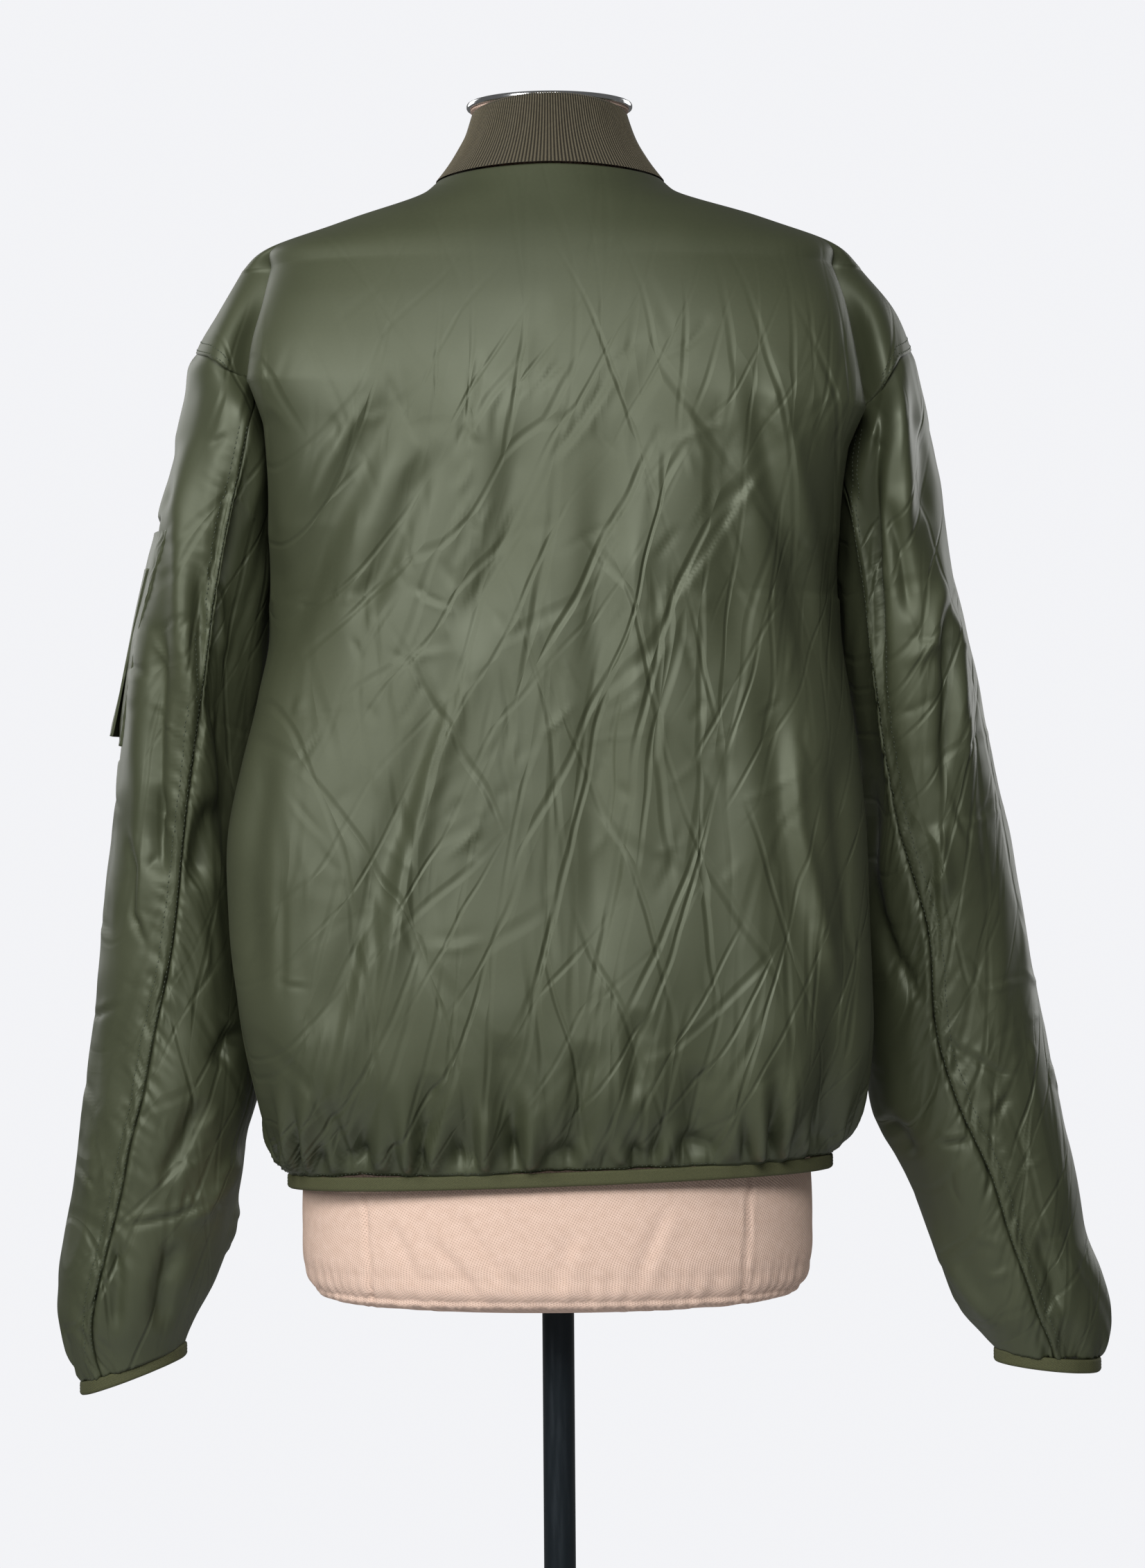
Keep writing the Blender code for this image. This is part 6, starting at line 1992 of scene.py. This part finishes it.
@dataclass
class SleevePocket:
    """The pocket of the wearer's left sleeve and the flap over it; its slanted zip is not built."""

    edge: Table = Table(((1.2620, 48.0), (1.2050, 31.0), (1.1600, 26.0), (1.1180, 20.0)))
    turn: float = 112.0
    wall: float = 0.0026
    flap_top: float = 1.237
    flap_bottom: float = 1.124
    flap_start: float = 12.0
    flap_turn: float = 34.0

    def pouch_grid(self, rows: int = 110, columns: int = 90) -> tuple[Array, Array]:
        """The pouch's outside and its normals."""
        high, low = self.edge.rows[0][0], self.edge.rows[-1][0]
        height, across = np.meshgrid(np.linspace(high, low, rows), np.linspace(0, 1, columns), indexing="ij")
        turn = self.edge.at(height, 1) - self.turn * across
        return LEFT_SLEEVE.point(turn, height), LEFT_SLEEVE.normal(turn, height)

    def flap_grid(self, rows: int = 90, columns: int = 40) -> tuple[Array, Array, Array]:
        """The flap's outside, its normals and how far it stands off."""
        height, across = np.meshgrid(
            np.linspace(self.flap_top, self.flap_bottom, rows), np.linspace(0, 1, columns), indexing="ij"
        )
        turn = self.edge.at(height, 1) - self.flap_start - self.flap_turn * across
        fall = (self.flap_top - height) / (self.flap_top - self.flap_bottom)
        stand = 0.006 * fall**3 * (1.0 - np.abs(4 * across - 1.0) / 4)
        return LEFT_SLEEVE.point(turn, height), LEFT_SLEEVE.normal(turn, height), stand

    def make(self, wardrobe: Wardrobe) -> list[bpy.types.Object]:
        """The pouch and the flap.

        Args:
            wardrobe: The materials.

        Returns:
            The objects.
        """
        points, normals = self.pouch_grid()
        across = metres_along(points, 1)
        down = metres_along(points, 0)
        edge = np.minimum(np.minimum(across, across[:, -1:] - across), np.minimum(down, down[-1:] - down))
        puff = 0.0010 * smoothstep(0.0, 0.02, edge) + 0.0008 * ripple(across * 40 + 3, down * 30 + 2, 61) * smoothstep(
            0.0, 0.012, edge
        )
        pucker = 0.00035 * np.sin(across * 900 + 3 * np.sin(down * 300)) * np.exp(-edge / 0.004)
        grid = points + normals * (self.wall + puff + pucker)[..., None]
        pouch = Cloth("pocket_cloth")
        pouch.lay(grid, across, down)
        pouch.join(Vector((-1.0, 0.3, 0.0)))
        pouch.turn_in(0.0018)
        first = place_on(pouch.finish(wardrobe.nylon), "nylon", "sleeve_pocket")
        points, normals, stand = self.flap_grid()
        across = metres_along(points, 1)
        down = metres_along(points, 0)
        edge = np.minimum(np.minimum(across, across[:, -1:] - across), np.minimum(down, down[-1:] - down))
        wavy = 0.0007 * ripple(across * 60 + 3, down * 26 + 2, 62)
        grid = points + normals * (0.0031 + 0.0014 + stand + wavy * smoothstep(0.0, 0.01, edge))[..., None]
        flap = Cloth("pocket_flap_cloth")
        flap.lay(grid, across, down)
        flap.join(Vector((-1.0, 0.0, 0.0)))
        flap.turn_in(0.0016)
        second = place_on(flap.finish(wardrobe.nylon), "nylon", "pocket_flap")
        return [first, second]


@dataclass
class FrontZip:
    """The front zip: its tape, its closed chain of teeth, and the slider with its pull tab."""

    pitch: float = 0.0023
    tooth: tuple[float, float, float] = (0.0030, 0.0014, 0.0013)

    def line(self, heights: Array) -> Array:
        """The zip's middle at heights."""
        held = np.maximum(heights, JACKET.hem_z)
        y = JACKET.sections.at(held, 2)
        points = np.stack([np.zeros_like(heights), y, held], axis=-1)
        moved = JACKET.tilt_hem(points)
        moved[:, 2] += heights - held
        return moved

    def make(self, wardrobe: Wardrobe) -> list[bpy.types.Object]:
        """The tape and the teeth, and the metal of the CAD slider and tab.

        Args:
            wardrobe: The materials.

        Returns:
            The objects.
        """
        low = JACKET.hem_z - 0.0085 - 0.0003
        heights = np.linspace(JACKET.neck_front_z - 0.0015, low, 240)
        line = self.line(heights)
        half = JACKET.zip_half_width + 0.0015
        across = np.linspace(-half, half, 15)
        grid = np.repeat(line[:, None, :], len(across), axis=1)
        grid[..., 0] = across[None, :]
        grid[..., 1] -= 0.0016
        tape = Cloth("zip_tape_cloth")
        tape.lay(grid, np.broadcast_to(across + half, grid.shape[:2]), metres_along(grid, 0))
        tape.join(Vector((0.0, 1.0, 0.0)))
        tape.turn_in(0.0009)
        first = place_on(tape.finish(wardrobe.tape), "zip_tape", "zip_tape")
        work = bmesh.new()
        count = int(0.595 / self.pitch)
        for index in range(count):
            way = -1 if index % 2 else 1
            height = JACKET.neck_front_z - 0.0135 - index * self.pitch
            if height < low + 0.003:
                break
            spot = self.line(np.array([height]))[0]
            near = self.line(np.array([height - 0.002]))[0]
            lean = math.atan2(near[1] - spot[1], 0.002)
            where = Matrix.Translation((way * 0.0008, spot[1] - 0.0010, spot[2]))
            size = Matrix.Diagonal((*self.tooth, 1.0))
            made = bmesh.ops.create_cube(work, size=1.0, matrix=where @ Matrix.Rotation(lean, 4, "X") @ size)
            edges = {edge for vert in made["verts"] for edge in vert.link_edges}
            bmesh.ops.bevel(
                work, geom=list(edges), offset=0.0002, segments=1, profile=0.5, affect="EDGES", material=-1
            )
        mesh = bpy.data.meshes.new("zip_teeth")
        work.to_mesh(mesh)
        work.free()
        mesh.materials.append(wardrobe.zip_metal)
        teeth = bpy.data.objects.new("zip_teeth", mesh)
        bpy.context.scene.collection.objects.link(teeth)
        place_on(teeth, "zip_metal")
        for node in ("zip_slider", "zip_pull"):
            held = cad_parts[node]
            held.data.materials.clear()
            held.data.materials.append(wardrobe.zip_metal)
        return [first, teeth]


# ---------------------------------------------------------------- dress form and stand


@dataclass
class DressForm:
    """The limbless linen form under the jacket."""

    rings: Table = Table((
        (1.5435, 0.0460, 0.052, 0.052, 2.0),
        (1.5250, 0.0445, 0.050, 0.050, 2.0),
        (1.5050, 0.0500, 0.052, 0.052, 2.0),
        (1.4930, 0.0620, 0.056, 0.055, 2.0),
        (1.4800, 0.0860, 0.063, 0.052, 2.0),
        (1.4660, 0.1280, 0.072, 0.057, 2.1),
        (1.4520, 0.1640, 0.079, 0.064, 2.2),
        (1.4400, 0.1820, 0.085, 0.070, 2.3),
        (1.4250, 0.1860, 0.091, 0.077, 2.3),
        (1.4000, 0.1860, 0.099, 0.086, 2.4),
        (1.3600, 0.1870, 0.106, 0.096, 2.6),
        (1.3000, 0.1820, 0.111, 0.104, 2.5),
        (1.2300, 0.1750, 0.112, 0.108, 2.4),
        (1.1400, 0.1600, 0.104, 0.106, 2.3),
        (1.0600, 0.1490, 0.098, 0.104, 2.3),
        (0.9900, 0.1540, 0.104, 0.106, 2.3),
        (0.9200, 0.1650, 0.112, 0.109, 2.3),
        (0.8500, 0.1705, 0.113, 0.104, 2.2),
        (0.7950, 0.1725, 0.113, 0.104, 2.2),
        (0.7680, 0.1710, 0.111, 0.103, 2.2),
        (0.7530, 0.1650, 0.107, 0.099, 2.2),
        (0.7455, 0.1520, 0.098, 0.092, 2.3),
        (0.7415, 0.1220, 0.077, 0.072, 2.2),
    ))
    cap_top: float = 1.5468
    cap_radius: float = 0.0535
    seam_x: float = 0.128
    columns: int = 320

    def ring(self, height: float) -> Array:
        """The form's outline at a height, closed."""
        angle = np.linspace(math.pi, 3 * math.pi, self.columns + 1)
        sine, cosine = np.sin(angle), np.cos(angle)
        power = 2.0 / float(self.rings.at(height, 4))
        width = float(self.rings.at(height, 1))
        depth = np.where(cosine > 0, float(self.rings.at(height, 2)), float(self.rings.at(height, 3)))
        x = width * np.sign(sine) * np.abs(sine) ** power
        y = -depth * np.sign(cosine) * np.abs(cosine) ** power
        return np.stack([x, y, np.full_like(x, height)], axis=1)

    def make(self, wardrobe: Wardrobe) -> bpy.types.Object:
        """The form.

        Args:
            wardrobe: The materials.

        Returns:
            The object.
        """
        heights = np.concatenate([
            np.linspace(1.5435, 1.46, 40), np.linspace(1.455, 0.86, 60), np.linspace(0.855, 0.765, 80),
            np.linspace(0.763, 0.7415, 40),
        ])
        rows = [self.ring(float(height)) for height in heights]
        circle = np.linspace(math.pi, 3 * math.pi, self.columns + 1)
        for radius, height in ((0.9, 1.5450), (1.0, 1.5455), (1.0, self.cap_top)):
            cap = np.stack([
                self.cap_radius * radius * np.sin(circle), -self.cap_radius * radius * np.cos(circle),
                np.full_like(circle, height),
            ], axis=1)
            rows.insert(0, cap)
        inner = rows[0].copy()
        inner[:, :2] *= 0.02
        rows.insert(0, inner)
        for share, height in ((0.8, 0.7413), (0.5, 0.7412), (0.09, 0.7412)):
            ring = rows[-1].copy()
            ring[:, :2] = self.ring(0.7415)[:, :2] * share
            ring[:, 2] = height
            rows.append(ring)
        grid = np.stack(rows)
        across = metres_along(grid, 1)
        cloth = Cloth("linen_form")
        cloth.lay(grid, across, metres_along(grid, 0)[:, :1] + np.zeros_like(across))
        cloth.join(Vector())
        points, normals, _, _ = cloth.places()
        x, z = points[:, 0], points[:, 2]
        shift = np.zeros(len(x))
        body = smoothstep(1.49, 1.47, z) * smoothstep(0.742, 0.752, z)
        for seam in (-self.seam_x, self.seam_x):
            lean = 0.006 * (0.84 - z) / 0.1 * math.copysign(1.0, seam) * -1.0
            away = np.abs(x - seam - lean)
            shift += body * (
                0.0024 * np.exp(-((away / 0.0012) ** 2)) - 0.0004 * np.exp(-(((away - 0.003) / 0.002) ** 2))
            )
        side = np.abs(points[:, 1]) + 10.0 * (np.abs(x) < 0.1)
        shift += body * 0.0009 * np.exp(-((side / 0.0011) ** 2))
        low = smoothstep(0.783, 0.757, z) * smoothstep(0.7416, 0.7455, z)
        angle = np.arctan2(x, -points[:, 1])
        shift += low * 0.0008 * (
            np.sin(angle * 90 + 4 * np.sin(angle * 11)) * 0.6 + ripple(angle * 14 + 8, z * 60, 9)
        )
        drape = smoothstep(0.83, 0.79, z) * smoothstep(0.738, 0.76, z)
        for start, end, depth in (
            ((-0.066, 0.820), (-0.030, 0.765), 0.0022), ((-0.082, 0.800), (-0.040, 0.748), 0.0024),
            ((-0.030, 0.822), (0.010, 0.764), 0.0016), ((0.016, 0.800), (0.000, 0.752), 0.0018),
            ((0.078, 0.818), (0.055, 0.762), 0.0018), ((-0.108, 0.810), (-0.086, 0.764), 0.0016),
        ):
            crease = Crease((start, end), 0.006, depth, CreaseKind.LAPPED)
            shift += drape * crease.shift(x, z) * (points[:, 1] < 0.02)
            shift += drape * crease.shift(-x, z) * (points[:, 1] > 0.02)
        cloth.move(points - normals * shift[:, None])
        return place_on(cloth.finish(wardrobe.linen), "linen", "dress_form")


@dataclass
class Turned:
    """A turned part of the stand, spun from its profile of radius and height."""

    name: str
    node: str
    slot: str
    profile: tuple[tuple[float, float], ...]
    closed: bool
    steps: int = 96

    def make(self, material: bpy.types.Material) -> bpy.types.Object:
        """The part.

        Args:
            material: Its finish.

        Returns:
            The object.
        """
        work = bmesh.new()
        verts = [work.verts.new((radius, 0.0, height)) for radius, height in self.profile]
        pairs = list(zip(verts[:-1], verts[1:]))
        if self.closed:
            pairs.append((verts[-1], verts[0]))
        edges = [work.edges.new(pair) for pair in pairs]
        bmesh.ops.spin(
            work, geom=verts + edges, cent=(0, 0, 0), axis=(0, 0, 1), angle=2 * math.pi,
            steps=self.steps, use_merge=True,
        )
        bmesh.ops.remove_doubles(work, verts=work.verts[:], dist=1e-6)
        bmesh.ops.recalc_face_normals(work, faces=work.faces[:])
        for face in work.faces:
            face.smooth = True
        mesh = bpy.data.meshes.new(self.name)
        work.to_mesh(mesh)
        work.free()
        mesh.materials.append(material)
        obj = bpy.data.objects.new(self.name, mesh)
        bpy.context.scene.collection.objects.link(obj)
        return place_on(obj, self.slot, self.node)


def eased(points: tuple[tuple[float, float], ...], radius: float) -> tuple[tuple[float, float], ...]:
    """A profile whose corners off the axis are rounded.

    Args:
        points: Radius and height of each corner.
        radius: The rounding.

    Returns:
        The finer profile.
    """
    made = []
    for index, point in enumerate(points):
        spot = np.array(point)
        if index in (0, len(points) - 1):
            made.append(point)
            continue
        before = np.array(points[index - 1]) - spot
        after = np.array(points[index + 1]) - spot
        reach = min(radius, 0.45 * np.linalg.norm(before), 0.45 * np.linalg.norm(after))
        first = spot + before / np.linalg.norm(before) * reach
        last = spot + after / np.linalg.norm(after) * reach
        for t in np.linspace(0.0, 1.0, 5):
            curve = first * (1 - t) ** 2 + spot * 2 * t * (1 - t) + last * t**2
            made.append((float(curve[0]), float(curve[1])))
    return tuple(made)


@dataclass
class Stand:
    """The chrome neck ring, the pole and the base."""

    ring_radius: float = 0.0562
    ring_bottom: float = 1.5471
    ring_height: float = 0.0038
    ring_width: float = 0.0040
    pole_radius: float = 0.0108
    pole_top: float = 0.7412
    base_radius: float = 0.165
    base_thickness: float = 0.012
    socket_radius: float = 0.020
    socket_height: float = 0.030

    def make(self, wardrobe: Wardrobe) -> list[bpy.types.Object]:
        """All three parts.

        Args:
            wardrobe: The materials.

        Returns:
            The objects.
        """
        low, top = self.ring_bottom, self.ring_bottom + self.ring_height
        ring = Turned("chrome_ring", "neck_ring", "chrome", (
            (self.ring_radius - self.ring_width, low), (self.ring_radius - 0.0012, low),
            (self.ring_radius - 0.0004, low + 0.0003), (self.ring_radius, low + 0.0011),
            (self.ring_radius, top - 0.0012), (self.ring_radius - 0.0004, top - 0.0004),
            (self.ring_radius - 0.0012, top), (self.ring_radius - self.ring_width, top),
        ), True, 128)
        foot = self.base_thickness + 0.0003
        pole = Turned("steel_pole", "stand_pole", "blued_steel", (
            (self.pole_radius, foot), (self.pole_radius, 0.4), (self.pole_radius, self.pole_top),
        ), False, 64)
        up = self.base_thickness + self.socket_height
        base = Turned("steel_base", "stand_base", "blued_steel", eased((
            (0.0, 0.0), (self.base_radius, 0.0), (self.base_radius, self.base_thickness),
            (self.socket_radius, self.base_thickness), (self.socket_radius, up),
            (self.pole_radius + 0.0003, up), (self.pole_radius + 0.0003, self.base_thickness),
            (0.0, self.base_thickness),
        ), 0.0025), False, 128)
        return [
            ring.make(wardrobe.chrome), pole.make(wardrobe.steel), base.make(wardrobe.steel),
        ]


# ---------------------------------------------------------------- studio


@dataclass
class Studio:
    """Pale world, soft lights and the camera of the photo."""

    eye: tuple[float, float, float] = (0.0123, -2.7, 1.09)
    lens: float = 91.4
    roll: float = 0.417

    def world(self) -> None:
        """A pale backdrop for the camera and a softer light for the object."""
        world = bpy.data.worlds.new("studio")
        bpy.context.scene.world = world
        world.use_nodes = True
        tree = world.node_tree
        tree.nodes.clear()
        build = NodeTree(tree)
        path = build.add("ShaderNodeLightPath")
        seen = build.add("ShaderNodeBackground")
        seen.inputs["Color"].default_value = (0.895, 0.90, 0.925, 1.0)
        seen.inputs["Strength"].default_value = 1.0
        light = build.add("ShaderNodeBackground")
        light.inputs["Color"].default_value = (1.0, 1.0, 1.0, 1.0)
        light.inputs["Strength"].default_value = 0.12
        mixed = build.add("ShaderNodeMixShader")
        build.put(path.outputs["Is Camera Ray"], mixed.inputs[0])
        build.put(light.outputs[0], mixed.inputs[1])
        build.put(seen.outputs[0], mixed.inputs[2])
        out = build.add("ShaderNodeOutputWorld")
        build.put(mixed.outputs[0], out.inputs["Surface"])

    @staticmethod
    def lamp(name: str, spot: tuple[float, float, float], size: tuple[float, float], power: float) -> None:
        """A soft rectangular light that faces the jacket.

        Args:
            name: Its name.
            spot: Its place.
            size: Its width and height.
            power: Its power in watts.
        """
        data = bpy.data.lights.new(name, "AREA")
        data.shape = "RECTANGLE"
        data.size, data.size_y = size
        data.energy = power
        obj = bpy.data.objects.new(name, data)
        obj.location = spot
        aim = Vector((0.0, 0.0, 1.15)) - Vector(spot)
        obj.rotation_euler = aim.to_track_quat("-Z", "Y").to_euler()
        bpy.context.scene.collection.objects.link(obj)

    def floor(self) -> bpy.types.Object:
        """A pale round floor."""
        work = bmesh.new()
        bmesh.ops.create_circle(work, cap_ends=True, segments=96, radius=1.3)
        mesh = bpy.data.meshes.new("floor")
        work.to_mesh(mesh)
        work.free()
        surface = Finish("floor", (0.62, 0.62, 0.64), 0.7)
        made, build, shader = surface.start()
        where = build.add("ShaderNodeTexCoord").outputs["Object"]
        build.put(build.ramp(build.noise(where, 3.0), 0.2, 0.8, 0.62, 0.75), shader.inputs["Roughness"])
        mesh.materials.append(made)
        obj = bpy.data.objects.new("floor", mesh)
        bpy.context.scene.collection.objects.link(obj)
        return obj

    def camera(self) -> None:
        """The photo's camera."""
        data = bpy.data.cameras.new("camera")
        data.lens = self.lens
        data.sensor_width = 36.0
        data.clip_end = 100.0
        obj = bpy.data.objects.new("camera", data)
        obj.location = self.eye
        obj.rotation_mode = "QUATERNION"
        obj.rotation_quaternion = (
            Matrix.Rotation(math.radians(90.0), 4, "X") @ Matrix.Rotation(math.radians(-self.roll), 4, "Z")
        ).to_quaternion()
        bpy.context.scene.collection.objects.link(obj)
        bpy.context.scene.camera = obj

    def make(self) -> None:
        """Sets the whole studio up."""
        bpy.context.scene.view_settings.view_transform = "Standard"
        self.world()
        self.lamp("key", (-1.8, -1.95, 2.1), (0.9, 1.5), 44.0)
        self.lamp("front", (-0.1, -2.9, 2.4), (1.3, 0.8), 70.0)
        self.lamp("rim_left", (-1.9, 2.2, 2.0), (1.2, 1.8), 22.0)
        self.lamp("rim_right", (2.0, 2.3, 1.7), (1.2, 1.8), 22.0)
        self.floor()
        self.camera()


# ---------------------------------------------------------------- the whole


class PaddedJacket:
    """The jacket: all its cloth, its seams and its zip."""

    def __init__(self, wardrobe: Wardrobe) -> None:
        """Takes the materials.

        Args:
            wardrobe: The materials.
        """
        self.wardrobe = wardrobe
        self.pieces: dict[str, bpy.types.Object] = {}

    def keep(self, obj: bpy.types.Object) -> None:
        """Remembers a piece by its name."""
        self.pieces[obj.name] = obj

    def build(self) -> None:
        """Builds every piece in order."""
        wardrobe = self.wardrobe
        hem = [
            Gathers(150, 1.0, 0.0022, 0.016, 3),
            Gathers(52, 1.0, 0.0150, 0.060, 5),
            Gathers(20, 1.0, 0.0110, 0.120, 6),
        ]
        back = BodyPanel("back_cloth", "back", Facing.BACK, (Side.LEFT, Side.RIGHT), back_creases(), hem)
        self.keep(back.make(wardrobe, (0.62, 0.72), 0.40))
        for side in Side:
            word = side.name.lower()
            front = BodyPanel(
                "front_" + word + "_cloth", "front_" + word, Facing.FRONT, (side,), front_creases(side),
                [
                    Gathers(135, 0.9, 0.0022, 0.016, 8 + side.value),
                    Gathers(47, 0.9, 0.0150, 0.060, 14 + side.value),
                    Gathers(18, 0.9, 0.0110, 0.120, 24 + side.value),
                ],
            )
            self.keep(front.make(wardrobe, (0.31, 0.70), 0.19))
            for upper in (True, False):
                panel = SleevePanel(
                    side, upper, sleeve_creases(side),
                    [
                        Gathers(
                            14 if upper else 8, 0.16 if upper else 0.10,
                            0.0048, 0.045, 90 + side.value + upper,
                        ),
                        Gathers(
                            28 if upper else 16, 0.16 if upper else 0.10,
                            0.0020, 0.014, 80 + side.value + upper,
                        ),
                    ],
                    columns=130 if upper else 90,
                )
                flat = (0.27, 0.74) if upper else (0.22, 0.64)
                self.keep(panel.make(wardrobe, flat, 0.155 if upper else 0.10))
            points, normals = cuff_path(side)
            cuff = Binding("cuff_" + word + "_elastic", "cuff_binding_" + word)
            self.keep(cuff.make(wardrobe, points, normals, (0.21, 0.023), True))
        self.keep(RibCollar().make(wardrobe))
        points, normals = hem_path()
        self.keep(Binding("hem_elastic", "hem_binding", gap=0.0006).make(
            wardrobe, points, normals, (0.96, 0.023), False
        ))
        for obj in SleevePocket().make(wardrobe):
            self.keep(obj)
        for obj in FrontZip().make(wardrobe):
            self.keep(obj)
        self.sew()

    def sew(self) -> None:
        """Sews the rows of stitches along the seams."""
        rows = Stitches("seam_stitches")
        heights = np.linspace(1.330, 0.705, 220)
        for side in Side:
            form = SLEEVES[side]
            word = side.name.lower()
            upper = self.pieces["upper_sleeve_" + word + "_cloth"]
            back = self.pieces["back_cloth"]
            seam = form.elbow_seam.at(heights, 1)
            for away in (0.0012, 0.0084):
                turn = seam - np.degrees(away / 0.055)
                rows.run(form.point(turn, heights), upper)
            turn = np.linspace(100.0, 0.0, 80)
            for away in (0.0022, 0.0075):
                height = form.armhole_height(turn) + away
                rows.run(form.point(turn, height), back)
        rows.finish(self.wardrobe.thread, "nylon")
        points, _ = hem_path(600)
        edge = Stitches("hem_stitches", 0.0014, 0.0016, 0.0007)
        up = points + np.array([0.0, 0.0, 0.0022])
        quarter = len(up) // 4
        edge.run(up[quarter:3 * quarter], self.pieces["back_cloth"], 0.0003)
        edge.run(up[:quarter], self.pieces["front_left_cloth"], 0.0003)
        edge.run(up[3 * quarter:], self.pieces["front_right_cloth"], 0.0003)
        edge.finish(self.wardrobe.thread, "nylon")


def main() -> None:
    """Builds the jacket, the form, the stand and the studio."""
    logging.basicConfig(level=logging.INFO, format="%(name)s: %(message)s")
    wardrobe = Wardrobe(EffectGroups())
    PaddedJacket(wardrobe).build()
    DressForm().make(wardrobe)
    Stand().make(wardrobe)
    Studio().make()
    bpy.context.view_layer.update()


if __name__ == "__main__":
    main()
